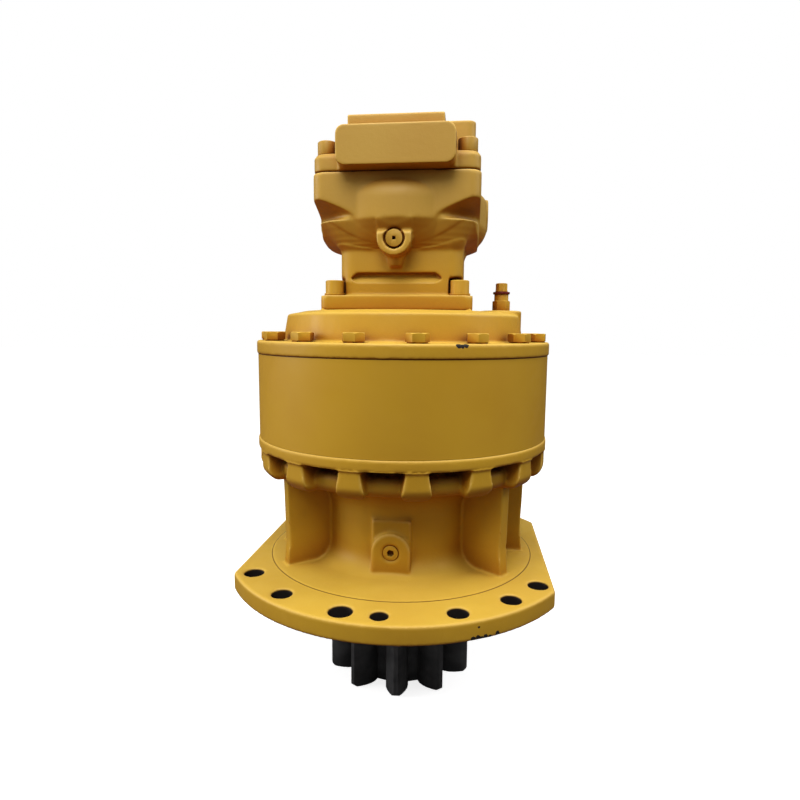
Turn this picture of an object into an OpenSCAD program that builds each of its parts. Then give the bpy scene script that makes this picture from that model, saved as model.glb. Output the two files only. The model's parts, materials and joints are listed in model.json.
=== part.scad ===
// Excavator swing motor: an axial piston motor on a two stage planetary gearbox
// whose output shaft carries the slew pinion. All sizes are in millimetres.
// The origin is the centre of the deck face, with +Z up towards the motor.

/* [Mounting flange] */
// Outer diameter of the round mounting flange
flange_d = 480; // [470:1:500]
// Depth of the flat on the left and right of the flange
flat_depth = 37; // [25:1:38]
// Thickness of the mounting flange
flange_t = 23; // [18:1:30]
// Distance of the flange holes from the edge of the flange
deck_edge = 23.5; // [21:0.5:26]
// Diameter of the ordinary flange holes
deck_hole_d = 25; // [20:0.5:27]
// Diameter of the one larger hole on each half
wide_hole_d = 28; // [22:0.5:30]
// Diameter of the jacking holes on the centre line
jack_hole_d = 21; // [16:0.5:24]
// Diameter of the pilot under the flange
pilot_d = 320; // [300:1:330]
// Height of the pilot under the deck face
pilot_h = 14; // [8:1:20]
// Width of the flange outside the low disc on top of it
disc_edge = 55; // [50:1:65]
// Height of the low disc
disc_h = 1.5; // [0.5:0.5:3]

/* [Lower housing] */
// Height of the ring gear joint above the deck face
housing_h = 193; // [188:1:200]
// Radial thickness of the ring gear outside its teeth
ring_wall = 36.25; // [34.25:0.25:38.25]
// Thickness of the upper flange of the lower housing
housing_flange_t = 14; // [10:1:18]
// Outer radius of the bearing barrel
barrel_r = 112; // [110:1:120]
// Radius of the fillet from the barrel to the flange
foot_fillet = 28; // [20:1:40]
// Inset of the gear bowl from the edge of the joint
bowl_inset = 28; // [25:1:30]
// Number of joint bolts and of the bosses below them
joint_bolts = 16; // [12:2:16]
// Distance of the joint bolts from the edge of the joint
joint_edge = 17; // [15.5:0.5:18]
// Width of a boss at its lower end
boss_w = 34; // [26:1:38]
// Height of a boss
boss_h = 37; // [28:1:38]
// Outer radius of the upright ribs
rib_r = 173; // [165:1:176]
// Thickness of an upright rib
rib_t = 18; // [12:1:22]
// Width of the plug block on the front
plug_block_w = 50; // [40:1:56]
// Distance of the plug block face from the axis
plug_block_y = 124; // [120:1:126]
// Height of the set back upper part of the plug block above the flange
plug_back_h = 74; // [66:1:80]
// Height of the drain plug above the deck face
plug_z = 57; // [52:1:62]

/* [Output shaft] */
// Module of the pinion teeth
pinion_m = 16; // [14:0.5:16.5]
// Number of pinion teeth
pinion_teeth = 10; // [9:1:11]
// Profile shift of the pinion, in modules
pinion_shift = 0.5; // [0.4:0.05:0.55]
// Tip shortening of the pinion, in modules
pinion_short = 0.1; // [0:0.05:0.2]
// Face width of the pinion
pinion_face = 96; // [80:1:96]
// Depth of the pinion end below the deck face
pinion_drop = 150; // [148:1:160]
// Angle of one pinion tooth, from the front towards the right
pinion_phase = 3; // [-18:1:18]
// Radius of the shaft in the lower bearing
shaft_low_r = 65; // [60:1:66]
// Radius of the shaft in the upper bearing
shaft_high_r = 55; // [52:1:57]
// Outer radius of the lower bearing
lower_cup_r = 104; // [102:1:106]
// Height of the lower bearing
lower_bearing_h = 56; // [50:1:58]
// Outer radius of the upper bearing
upper_cup_r = 90; // [86:1:93]
// Height of the upper bearing
upper_bearing_h = 54; // [46:1:54]
// Height of the upper bearing shoulder above the deck face
upper_seat_z = 92; // [88:1:92]
// Height of the shaft nut
nut_h = 14; // [10:1:14]
// Radial thickness of the wear sleeve under the seal
sleeve_t = 7.5; // [5:0.5:9]

/* [Gear train] */
// Height of the ring gear
ring_h = 110.5; // [108:0.5:116]
// Module of both planetary stages
gear_m = 5; // [4.9:0.02:5]
// Face width of the input stage
input_face = 24; // [18:1:26]
// Face width of the output stage
output_face = 42; // [36:1:44]
// Backlash of a tooth space at the pitch circle
backlash = 0.4; // [0.3:0.05:0.6]
// Radius of the planet pins of the output stage
output_pin_r = 20; // [16:1:22]
// Radius of the planet pins of the input stage
input_pin_r = 16; // [14:1:18]
// Radial thickness of the planet bushes
bush_t = 5; // [3:0.5:6]
// Thickness of the lower plate of the output carrier
output_plate_t = 20; // [16:1:20]
// Thickness of the upper plate of the output carrier
output_top_t = 12; // [9:1:13]
// Thickness of the input carrier plate
input_plate_t = 14; // [11:1:15]

/* [Top cover] */
// Thickness of the bolted flange of the top cover
cover_flange_t = 17.2; // [14:0.2:20]
// Height of the motor seat above the ring gear
cover_h = 59.5; // [57:0.5:64]
// Inset of the raised part of the cover from the edge of the joint
cover_inset = 35; // [33:1:38]
// Width of the gentle slope around the flat top of the cover
cover_slope_w = 21; // [16:1:26]
// Drop of the gentle slope around the flat top of the cover
cover_slope_h = 7; // [4:1:10]
// Inset of the breather from the edge of the raised part
breather_inset = 29; // [27:1:34]
// Distance of the breather from the axis along Y
breather_y = 15; // [0:1:20]
// Radius of the breather pad
breather_pad_r = 28; // [22:1:30]

/* [Motor casing] */
// Width of the square base flange of the motor
base_w = 191; // [188:1:196]
// Thickness of the base flange of the motor
base_t = 15; // [12:1:18]
// Distance of a base screw from the axis along X and Y
base_screw_x = 79; // [77:1:81]
// Height of the motor casing above its seat
casing_h = 162; // [160:1:168]
// Width of the neck
neck_w = 156; // [152:1:158]
// Depth of the neck from front to back
neck_d = 170; // [160:1:172]
// Sideways offset of the neck
neck_offset = 5; // [0:1:6]
// Radius of the upright corners of the neck
neck_corner_r = 20; // [12:1:24]
// Height of the ridge round the casing above the motor seat
ridge_h = 106; // [102:1:108]
// Width of the square ledge that widens the ridge at its corners
ledge_w = 202; // [196:1:206]
// Radius of the round body of the casing
body_r = 113; // [111:1:116]
// Width of the square head joint
head_w = 204; // [202:1:212]
// Corner radius of the square head joint
head_corner_r = 15; // [12:1:20]
// Height above the ridge at which the corner bosses reach their full size
corner_rise = 34; // [30:1:38]
// Distance of a head screw from the axis along X and Y
head_screw_x = 86; // [84:1:87]
// Height of the casing plug above the motor seat
casing_plug_z = 82; // [80:1:84]

/* [Motor head] */
// Thickness of the head plate
head_t = 22; // [20:1:26]
// Height of the flat raised top above the head joint
head_top_h = 66; // [64:1:70]
// Width of the raised top
head_top_w = 117; // [110:1:120]
// Width of the front box
box_w = 141; // [136:1:142]
// Sideways offset of the front box
box_offset = 2; // [-4:1:6]
// Distance of the front box face from the axis
box_y = 125; // [122:1:130]
// Height of the front box
box_h = 46; // [42:1:50]
// Height of the front box above the head joint
box_lift = 1; // [0.5:0.5:4]
// Height of the valve tower above the head joint
tower_h = 90; // [84:1:94]
// Diameter of the two main ports
port_d = 25; // [19:1:26]
// Distance between the two main ports
port_pitch = 70; // [66:1:74]
// Long spacing of the port flange screws
port_bolt_long = 52.4; // [47.6:0.1:52.4]
// Short spacing of the port flange screws
port_bolt_short = 26.2; // [22.2:0.1:27]

/* [Rotary group] */
// Number of pistons
piston_count = 9; // [7:2:9]
// Radius of a piston
piston_r = 10; // [8:0.5:10.5]
// Radius of the circle of pistons
piston_circle_r = 42; // [40:1:43]
// Angle of the swash plate
swash_angle = 16; // [12:1:16]
// Radius of the cylinder block
block_r = 60; // [58:1:61]
// Length of the cylinder block
block_h = 60; // [58:1:62]
// Radius of the motor shaft
motor_shaft_r = 20; // [18:0.5:20.5]
// Number of brake friction discs
brake_disc_count = 2; // [1:1:2]
// Thickness of a brake disc or plate
brake_t = 4; // [3:0.5:4]
// Release stroke of the brake piston
brake_stroke = 2.5; // [1.5:0.5:3]
// Number of brake springs
spring_count = 8; // [6:1:10]

/* [Hidden] */
$fn = 96;

// Clearances shared by all fits
fit_gap = 0.05;
run_gap = 0.3;
side_gap = 0.5;
eps = 1;

// Levels of the main joints
ring_z = housing_h;
cover_z = ring_z + ring_h;
seat_z = cover_z + cover_h;
split_z = seat_z + casing_h;

// Teeth of the two planetary stages, which share the ring gear
input_sun_teeth = 15;
input_planet_teeth = 24;
output_sun_teeth = 21;
output_planet_teeth = 21;
ring_teeth = input_sun_teeth + 2 * input_planet_teeth;
ring_tip_r = gear_m * (ring_teeth / 2 - 1);
ring_root_r = gear_m * (ring_teeth / 2 + 1.25);

// Radii of the bolted joints
flange_r = flange_d / 2;
flange_flats = flange_d - 2 * flat_depth;
deck_pcd = flange_d - 2 * deck_edge;
disc_r = flange_r - disc_edge;
pilot_r = pilot_d / 2;
joint_r = ring_root_r + ring_wall;
joint_pcd = 2 * (joint_r - joint_edge);
bowl_r = joint_r - bowl_inset;
cover_r = joint_r - cover_inset;
cover_top_r = cover_r - 7 - cover_slope_w;
breather_x = cover_r - breather_inset;
bolt_r = 8;
bolt_hole_r = 8.75;
bolt_step = 360 / joint_bolts;
bolt_phase = bolt_step / 2;
bolt_depth = 32;
ring_bolt_washer_t = 1.5;
ring_bolt_head_h = 10;
ring_bolt_flats = 24;
boss_out_r = joint_pcd / 2 + 12;

// Levels of the lower housing
recess_r = bowl_r - 6;
belly_r = bowl_r - barrel_r - 20;
nose_r = pilot_r - 10;
nose_z = -pilot_h - 12;
lower_cup_z = nose_z + 2;
lower_seat_z = lower_cup_z + lower_bearing_h;
boss_top_z = ring_z - housing_flange_t;
bowl_floor_z = boss_top_z - 7;
bowl_in_r = bowl_r - 14;
middle_bore_r = upper_cup_r - 10;

// Deck hole angles, from the front towards the right
deck_hole_angles = [-54.9, -34.6, 23.5, 43];
front_hole_angle = 58;
wide_hole_angle = -11.9;
rib_angles = [-90, -56, 56, 90, 124, -124];

// Output shaft levels
cover_plate_t = 14;
bearing_cover_z = nose_z - cover_plate_t;
bearing_cover_r = nose_r - 5;
cover_screw_r = (bearing_cover_r + lower_cup_r) / 2;
cover_screw_count = 8;
pinion_z = -pinion_drop;
pinion_top_z = pinion_z + pinion_face;
collar_h = 4;
sleeve_z = pinion_top_z + collar_h;
sleeve_r = shaft_low_r + sleeve_t;
seal_r = sleeve_r + 19.5;
seal_h = 12;
upper_end_z = upper_seat_z + upper_bearing_h;
nut_z = upper_end_z;
nut_r = shaft_high_r + 20;

// Gear data
press = 20;
input_count = 3;
output_count = 4;
input_orbit_r = gear_m * (input_sun_teeth + input_planet_teeth) / 2;
output_orbit_r = gear_m * (output_sun_teeth + output_planet_teeth) / 2;
carrier_gap = 2;
output_plate_z = ring_z - 11;
output_gear_z = output_plate_z + output_plate_t + side_gap;
output_top_z = output_gear_z + output_face + side_gap;
input_plate_z = output_top_z + output_top_t + carrier_gap;
input_gear_z = input_plate_z + input_plate_t + side_gap;
input_gear_top = input_gear_z + input_face;
output_carrier_r = ring_tip_r - 4;
input_carrier_r = input_orbit_r + input_pin_r + 12;
hub_z = nut_z + nut_h + 1;
hub_r = shaft_high_r + 23;
spline_r = shaft_high_r - 5;
spline_tooth_h = 4;
sun_neck_r = gear_m * (output_sun_teeth / 2 - 1.25) - 8;

// Motor levels
ridge_z = seat_z + ridge_h;
shoulder_z = ridge_z + 32;
side_boss_z = ridge_z + 21;
corner_w = head_w + 2;
corner_reach = (corner_w / 2 - head_corner_r) * sqrt(2) + head_corner_r;
side_boss_r = 20;
boss_plug_r = 7;
spigot_r = 70;
spigot_h = 10;
neck_z = seat_z + base_t;
motor_shaft_z = input_gear_z + 3;
coupling_top_z = input_gear_top + 20;
bearing_bore_z = seat_z + 4;
motor_bearing_h = 24;
motor_cup_r = 45;
motor_cone_r = motor_shaft_r + 2.5;
swash_floor_z = bearing_bore_z + motor_bearing_h + 3;
neck_in_r = block_r + 2;
cavity_r = block_r + 16;
plate_r = block_r + 30;
brake_bore_r = plate_r + 5;
valve_plate_t = 7;
block_top_z = split_z - valve_plate_t;
block_z = block_top_z - block_h;
bore_end_z = block_top_z - 12;
block_floor_z = seat_z + 77;
swash_centre_z = block_z - 32;
swash_r = block_r;
shoe_r = 13;
shoe_flange_t = 4;
shoe_ball_h = 12.5;
ball_r = 8;
ball_rise = shoe_ball_h / cos(swash_angle);
retainer_t = 4;
guide_r = 26;
brake_stack_z = block_z + 8;
brake_pitch = brake_t + fit_gap;
brake_top_z = brake_stack_z + (2 * brake_disc_count + 1) * brake_pitch;
brake_step_z = brake_top_z + 6;
brake_piston_z = brake_top_z + run_gap;
brake_piston_top = split_z - 13;
brake_in_r = block_r + 4;
spring_circle_r = (brake_in_r + plate_r) / 2 + 2;
spring_pocket_r = 7.5;
spring_pocket_h = 8;
head_bearing_r = 26;
journal_r = motor_shaft_r - 2.5;
head_bearing_h = 24;

// Head levels
head_z = split_z + head_t;
head_top_z = split_z + head_top_h;
box_z = split_z + box_lift;
port_z = split_z + 27;
tower_x = 78;
tower_y = 25;
tower_w = 50;
tower_d = 62;
port_block_top = split_z + 45;
valve_y = 66;
valve_shank_h = 14;
makeup_x = 30;
makeup_y = -30;
makeup_shank_h = 12;
port_block_y = 122;
port_block_w = 136;
port_depth = 36;
cap_screw_r = 12;
cap_screw_h = 16;
cap_washer_t = 3;
head_screw_depth = 24;

paint = "goldenrod";
steel = "silver";
dark_steel = "dimgray";

// Points on an arc in the profile plane
function arc(cx, cy, r, a0, a1, n = 8) =
    [for (i = [0:n])
        let (a = a0 + (a1 - a0) * i / n)
        [cx + r * cos(a), cy + r * sin(a)]];

// Involute function, in radians
function inv(a) = tan(a) - a * PI / 180;

// Half angle of a tooth at radius r
function tooth_half(r, teeth, m, shift, thin) =
    let (
        rp = m * teeth / 2,
        a = acos(min(1, rp * cos(press) / r)),
        half_arc = m * (PI / 4 + shift * tan(press)) - thin / 2
    )
    (half_arc / rp + inv(press) - inv(a)) * 180 / PI;

// Outline of a spur gear with one tooth centred on +X
function gear_outline(teeth, m, r_tip, r_root, shift, thin, steps = 3) =
    let (
        rb = m * teeth / 2 * cos(press),
        r0 = max(rb, r_root),
        foot = r_root < rb - 0.01 ? [r_root] : [],
        flank = [for (i = [0:steps]) r0 + (r_tip - r0) * i / steps],
        up = concat(foot, flank),
        n = len(up)
    )
    [for (k = [0:teeth - 1], i = [0:2 * n - 1])
        let (
            r = i < n ? up[i] : up[2 * n - 1 - i],
            h = tooth_half(max(r, r0), teeth, m, shift, thin),
            a = k * 360 / teeth + (i < n ? -h : h)
        )
        [r * cos(a), r * sin(a)]];

function external_outline(teeth) =
    gear_outline(teeth, gear_m, gear_m * (teeth / 2 + 1), gear_m * (teeth / 2 - 1.25), 0, backlash / 2);

function ring_space_outline() =
    gear_outline(ring_teeth, gear_m, ring_root_r, ring_tip_r, 0, -backlash / 2);

// Angle of a planet about its own pin, so that it meshes with the ring gear
function planet_angle(orbit_angle, teeth) = orbit_angle * (1 - ring_teeth / teeth);

// Angle of a sun, so that it meshes with the first planet
function sun_angle(sun_teeth, planet_teeth) = (planet_teeth / 2 + 0.5) * 360 / sun_teeth;

// Outline of a straight sided spline
function spline_outline(teeth, r_in, r_out) =
    [for (k = [0:teeth - 1], p = [[r_in, -0.3], [r_out, -0.22], [r_out, 0.22], [r_in, 0.3]])
        let (a = (k + p[1]) * 360 / teeth) [p[0] * cos(a), p[0] * sin(a)]];

module at_front_angle(a) {
    rotate([0, 0, a - 90])
        children();
}

module ring(r_out, r_in, z, h) {
    translate([0, 0, z])
        difference() {
            cylinder(r = r_out, h = h);
            translate([0, 0, -eps])
                cylinder(r = r_in, h = h + 2 * eps);
        }
}

module rounded_rect(w, d, r) {
    square([w - 2 * r, d], center = true);
    square([w, d - 2 * r], center = true);
    for (sx = [-1, 1], sy = [-1, 1])
        translate([sx * (w / 2 - r), sy * (d / 2 - r)])
            circle(r);
}

module at_corners(x) {
    for (sx = [-1, 1], sy = [-1, 1])
        translate([sx * x, sy * x, 0])
            children();
}

module on_circle(count, r, phase = 0) {
    for (i = [0:count - 1])
        rotate([0, 0, phase + i * 360 / count])
            translate([r, 0, 0])
                children();
}

// Hexagon prism with chamfered corners
module hex_prism(flats, h) {
    intersection() {
        cylinder(r = flats / 2 / cos(30), h = h, $fn = 6);
        rotate_extrude()
            polygon([[0, 0], [flats, 0], [flats, h - flats / 4], [flats / 2 - 0.5, h], [0, h]]);
    }
}

module hex_socket(flats, depth) {
    translate([0, 0, -depth])
        cylinder(r = flats / 2 / cos(30), h = depth + eps, $fn = 6);
}

// Socket head cap screw on z = 0, with a washer where washer_t is not zero
module cap_screw(shank_r, shank_h, head_r, head_h, washer_t) {
    difference() {
        union() {
            translate([0, 0, -shank_h])
                cylinder(r = shank_r, h = shank_h + washer_t + eps);
            if (washer_t > 0)
                cylinder(r = head_r + 1.5, h = washer_t);
            translate([0, 0, washer_t])
                rotate_extrude()
                    polygon([[0, 0], [head_r, 0], [head_r, head_h - 1], [head_r - 1, head_h], [0, head_h]]);
        }
        translate([0, 0, washer_t + head_h])
            hex_socket(head_r * 1.15, head_h / 2);
    }
}

// Tapered roller bearing lines. The large end lies at z = 0 and the small end at z = h
taper = 12;
function bearing_mid_r(bore, outer) = (bore + outer) / 2;
function bearing_roller_r(bore, outer) = (outer - bore) * 0.19;
function apex_z(bore, outer, h) = h / 2 + bearing_mid_r(bore, outer) / tan(taper);
function apex_s(bore, outer) = bearing_mid_r(bore, outer) / sin(taper);
function roller_half(bore, outer) = atan(bearing_roller_r(bore, outer) / apex_s(bore, outer));
function race_in(bore, outer, h, z) =
    (apex_z(bore, outer, h) - z) * tan(taper - roller_half(bore, outer)) - fit_gap;
function race_out(bore, outer, h, z) =
    (apex_z(bore, outer, h) - z) * tan(taper + roller_half(bore, outer)) + run_gap;

module bearing_cone(bore, outer, h) {
    rib = h * 0.12;
    rib_h = (outer - bore) * 0.07;
    rotate_extrude()
        polygon([
            [bore, 0],
            [race_in(bore, outer, h, 0) + rib_h, 0],
            [race_in(bore, outer, h, rib) + rib_h, rib],
            [race_in(bore, outer, h, rib), rib],
            [race_in(bore, outer, h, h - rib), h - rib],
            [race_in(bore, outer, h, h - rib) + rib_h / 2, h - rib],
            [race_in(bore, outer, h, h) + rib_h / 2, h],
            [bore, h]
        ]);
}

module bearing_cup(bore, outer, h) {
    lip = h * 0.1;
    rotate_extrude()
        polygon([
            [outer, lip],
            [outer, h],
            [race_out(bore, outer, h, h), h],
            [race_out(bore, outer, h, lip), lip]
        ]);
}

module bearing_rollers(bore, outer, h) {
    length = h * 0.66 / cos(taper);
    s0 = apex_s(bore, outer) + length / 2;
    s1 = s0 - length;
    slope = tan(roller_half(bore, outer));
    count = floor(PI * bearing_mid_r(bore, outer) / bearing_roller_r(bore, outer) / 1.1);
    for (i = [0:count - 1])
        rotate([0, 0, i * 360 / count])
            translate([0, 0, apex_z(bore, outer, h)])
                rotate([0, 180 - taper, 0])
                    translate([0, 0, s1])
                        cylinder(r1 = s1 * slope, r2 = s0 * slope, h = length, $fn = 32);
}

module lower_bearing_place() {
    translate([0, 0, lower_cup_z])
        children();
}

module upper_bearing_place() {
    translate([0, 0, upper_end_z])
        mirror([0, 0, 1])
            children();
}

module motor_bearing_place() {
    translate([0, 0, bearing_bore_z + motor_bearing_h])
        mirror([0, 0, 1])
            children();
}

// Lower housing
module housing_outside() {
    rotate_extrude()
        polygon(concat(
            [[0, nose_z], [nose_r - 2, nose_z], [nose_r, nose_z + 2], [nose_r, -pilot_h],
                [pilot_r - 1.5, -pilot_h], [pilot_r, 1.5 - pilot_h], [pilot_r, 0], [flange_r - 1, 0],
                [flange_r, 1], [flange_r, flange_t - 1.5], [flange_r - 1.5, flange_t],
                [disc_r, flange_t], [disc_r - 1, flange_t + disc_h]],
            arc(barrel_r + foot_fillet, flange_t + disc_h + 1.5 + foot_fillet, foot_fillet, 270, 180, 8),
            arc(barrel_r + belly_r, boss_top_z - boss_h + 1 - belly_r, belly_r, 180, 90, 8),
            arc(bowl_r - 4, boss_top_z - boss_h + 13, 12, 270, 360, 5),
            [[bowl_r + 8, boss_top_z - 16], [bowl_r + 5, boss_top_z - 12], [recess_r, boss_top_z - 10],
                [recess_r, boss_top_z], [joint_r - 1, boss_top_z], [joint_r, boss_top_z + 1],
                [joint_r, ring_z - 1.5], [joint_r - 1.5, ring_z], [0, ring_z]]
        ));
}

module housing_inside() {
    rotate_extrude()
        polygon([
            [0, nose_z - eps], [lower_cup_r, nose_z - eps], [lower_cup_r, lower_seat_z],
            [lower_cup_r - 15, lower_seat_z], [lower_cup_r - 15, lower_seat_z + 26],
            [middle_bore_r, lower_seat_z + 32], [middle_bore_r, upper_seat_z],
            [upper_cup_r, upper_seat_z], [upper_cup_r, upper_end_z + 4],
            [upper_cup_r + 5, upper_end_z + 6], [bowl_in_r - 38, bowl_floor_z - 12],
            [bowl_in_r, bowl_floor_z], [bowl_in_r, ring_z + eps], [0, ring_z + eps]
        ]);
}

// Thumb shaped bosses that take the joint bolts
module joint_bosses() {
    intersection() {
        on_circle(joint_bolts, 0, bolt_phase)
            rotate([90, 0, 90])
                linear_extrude(boss_out_r + eps)
                    polygon(concat(
                        [[boss_w / 2 - 5, boss_top_z + eps], [5 - boss_w / 2, boss_top_z + eps]],
                        arc(10 - boss_w / 2, boss_top_z - boss_h + 10, 10, 180, 270, 5),
                        arc(boss_w / 2 - 10, boss_top_z - boss_h + 10, 10, 270, 360, 5)
                    ));
        rotate_extrude()
            polygon(concat(
                [[bowl_r - 16, boss_top_z + eps], [bowl_r - 16, boss_top_z - boss_h - 4],
                    [bowl_r - 2, boss_top_z - boss_h - 1]],
                arc(boss_out_r - 14, boss_top_z - boss_h + 14, 14, 285, 360, 4),
                [[boss_out_r, boss_top_z + eps]]
            ));
    }
}

module housing_rib(a) {
    at_front_angle(a)
        rotate([90, 0, 0])
            linear_extrude(rib_t, center = true)
                polygon([
                    [barrel_r - 8, flange_t], [rib_r, flange_t], [rib_r - 3, flange_t + 36],
                    [rib_r, boss_top_z - boss_h + 6], [barrel_r - 8, boss_top_z - boss_h + 6]
                ]);
}

module plug_block() {
    rotate([90, 0, 0]) {
        linear_extrude(plug_block_y) {
            translate([-plug_block_w / 2, flange_t])
                square([plug_block_w, plug_z - flange_t]);
            translate([0, plug_z])
                circle(plug_block_w / 2);
        }
        linear_extrude(plug_block_y - 8)
            translate([-plug_block_w / 2, flange_t])
                square([plug_block_w, plug_back_h]);
    }
}

module deck_holes() {
    for (back = [0, 1])
        mirror([0, back, 0]) {
            for (a = deck_hole_angles)
                at_front_angle(a)
                    translate([deck_pcd / 2, 0, -eps])
                        cylinder(d = deck_hole_d, h = flange_t + 2 * eps);
            at_front_angle(wide_hole_angle)
                translate([deck_pcd / 2, 0, -eps])
                    cylinder(d = wide_hole_d, h = flange_t + 2 * eps);
            at_front_angle(0)
                translate([deck_pcd / 2, 0, -eps])
                    cylinder(d = jack_hole_d, h = flange_t + 2 * eps);
        }
    at_front_angle(front_hole_angle)
        translate([deck_pcd / 2, 0, -eps])
            cylinder(d = deck_hole_d, h = flange_t + 2 * eps);
}

module lower_housing() {
    color(paint)
        difference() {
            union() {
                intersection() {
                    housing_outside();
                    translate([-flange_flats / 2, -flange_r - eps, nose_z - eps])
                        cube([flange_flats, 2 * flange_r + 2 * eps, ring_z - nose_z + 2 * eps]);
                }
                joint_bosses();
                for (a = rib_angles)
                    housing_rib(a);
                plug_block();
            }
            housing_inside();
            deck_holes();
            on_circle(joint_bolts, joint_pcd / 2, bolt_phase)
                translate([0, 0, ring_z - bolt_depth - 3])
                    cylinder(r = bolt_r + fit_gap, h = bolt_depth + 3 + eps);
            on_circle(cover_screw_count, cover_screw_r)
                translate([0, 0, nose_z - eps])
                    cylinder(r = 5 + fit_gap, h = 20 + eps);
            plug_hole(plug_block_y, plug_z, 11, 3, 8, 30);
        }
}

// Stepped hole for a plug on the front, with a counterbore for its head
module plug_hole(y, z, head_r, head_depth, thread_r, depth) {
    translate([0, -y, z])
        rotate([90, 0, 0]) {
            translate([0, 0, -head_depth])
                cylinder(r = head_r, h = head_depth + eps);
            translate([0, 0, -depth])
                cylinder(r = thread_r, h = depth + eps);
        }
}

// Plug whose head lies in its counterbore, with a socket of the given number of sides
module front_plug(y, z, head_r, head_depth, head_t, thread_r, depth, socket_r, sides) {
    translate([0, -y, z])
        rotate([90, 0, 0])
            difference() {
                union() {
                    translate([0, 0, -head_depth])
                        cylinder(r = head_r, h = head_t);
                    translate([0, 0, -depth])
                        cylinder(r = thread_r, h = depth - head_depth + eps);
                }
                translate([0, 0, head_t - head_depth - 7])
                    rotate([0, 0, 45])
                        cylinder(r = socket_r, h = 7 + eps, $fn = sides);
            }
}

module gearbox_plug() {
    color(paint)
        front_plug(plug_block_y, plug_z, 9.6, 3, 2.6, 8 - fit_gap, 18, 4.6, 6);
}

// Ring gear and top cover
module ring_gear() {
    color(paint)
        difference() {
            translate([0, 0, ring_z])
                rotate_extrude()
                    polygon([[ring_tip_r - 10, 0], [joint_r - 1.5, 0], [joint_r - 1.5, ring_h],
                        [ring_tip_r - 10, ring_h]]);
            translate([0, 0, ring_z - eps])
                linear_extrude(ring_h + 2 * eps)
                    polygon(ring_space_outline());
            on_circle(joint_bolts, joint_pcd / 2, bolt_phase)
                translate([0, 0, ring_z - eps])
                    cylinder(r = bolt_hole_r, h = ring_h + 2 * eps);
        }
}

module cover_outside() {
    rotate_extrude()
        polygon(concat(
            [[0, cover_z], [joint_r - 0.8, cover_z], [joint_r, cover_z + 0.8],
                [joint_r, cover_z + cover_flange_t - 1.5], [joint_r - 1.5, cover_z + cover_flange_t],
                [cover_r, cover_z + cover_flange_t], [cover_r - 6, seat_z - cover_slope_h - 2]],
            arc(cover_r - 8.5, seat_z - cover_slope_h - 2.5, 2.5, 0, 70, 3),
            [[cover_top_r, seat_z], [0, seat_z]]
        ));
}

module cover_inside() {
    rotate_extrude()
        polygon([
            [0, cover_z - eps], [cover_r - 15, cover_z - eps], [cover_r - 15, seat_z - 34],
            [cover_r - 27, seat_z - 24], [spigot_r - 10, seat_z - 21],
            [spigot_r - 10, seat_z - spigot_h - 2], [spigot_r, seat_z - spigot_h - 2],
            [spigot_r, seat_z + eps], [0, seat_z + eps]
        ]);
}

module breather_pad() {
    translate([breather_x, breather_y, cover_z + cover_flange_t - eps]) {
        cylinder(r = breather_pad_r, h = seat_z - cover_z - cover_flange_t + eps);
        translate([-60, -breather_pad_r, 0])
            cube([60, 2 * breather_pad_r, seat_z - cover_z - cover_flange_t + eps]);
    }
}

module top_cover() {
    color(paint)
        difference() {
            union() {
                cover_outside();
                breather_pad();
            }
            cover_inside();
            on_circle(joint_bolts, joint_pcd / 2, bolt_phase)
                translate([0, 0, cover_z - eps])
                    cylinder(r = bolt_hole_r, h = cover_flange_t + 2 * eps);
            at_corners(base_screw_x)
                translate([0, 0, seat_z - 18])
                    cylinder(r = bolt_r + fit_gap, h = 18 + eps);
            translate([breather_x, breather_y, cover_z])
                cylinder(r = 6.5 + fit_gap, h = seat_z - cover_z + eps);
        }
}

module ring_bolts() {
    color(paint)
        on_circle(joint_bolts, joint_pcd / 2, bolt_phase)
            translate([0, 0, cover_z + cover_flange_t]) {
                translate([0, 0, ring_z - bolt_depth - cover_z - cover_flange_t])
                    cylinder(r = bolt_r, h = cover_z + cover_flange_t - ring_z + bolt_depth + eps);
                cylinder(r = ring_bolt_flats / 2 - 0.3, h = ring_bolt_washer_t);
                translate([0, 0, ring_bolt_washer_t])
                    rotate([0, 0, 30])
                        hex_prism(ring_bolt_flats, ring_bolt_head_h);
            }
}

module breather_body() {
    color(paint)
        translate([breather_x, breather_y, seat_z]) {
            translate([0, 0, -14])
                cylinder(r = 6.5, h = 14 + eps);
            hex_prism(21, 14);
            cylinder(r = 9.7, h = 23);
            translate([0, 0, 22])
                cylinder(r = 4, h = 4);
        }
}

module breather_washer() {
    color("firebrick")
        translate([breather_x, breather_y, 0])
            ring(11.5, 4 + fit_gap, seat_z + 23, 3);
}

module breather_cap() {
    color(paint)
        translate([breather_x, breather_y, seat_z + 26]) {
            cylinder(r = 8.5, h = 2);
            translate([0, 0, 2])
                hex_prism(14, 10);
        }
}

// Fixed parts of the output shaft
module lower_bearing_cup() {
    color(steel)
        lower_bearing_place()
            bearing_cup(shaft_low_r, lower_cup_r, lower_bearing_h);
}

module upper_bearing_cup() {
    color(steel)
        upper_bearing_place()
            bearing_cup(shaft_high_r, upper_cup_r, upper_bearing_h);
}

module output_seal() {
    color(dark_steel)
        translate([0, 0, bearing_cover_z])
            rotate_extrude()
                polygon([
                    [sleeve_r + fit_gap, 4], [sleeve_r + fit_gap, 6], [sleeve_r + 5, 9],
                    [seal_r - 2, 9], [seal_r - 2, seal_h], [seal_r, seal_h], [seal_r, 0],
                    [sleeve_r + 3, 0]
                ]);
}

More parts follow.
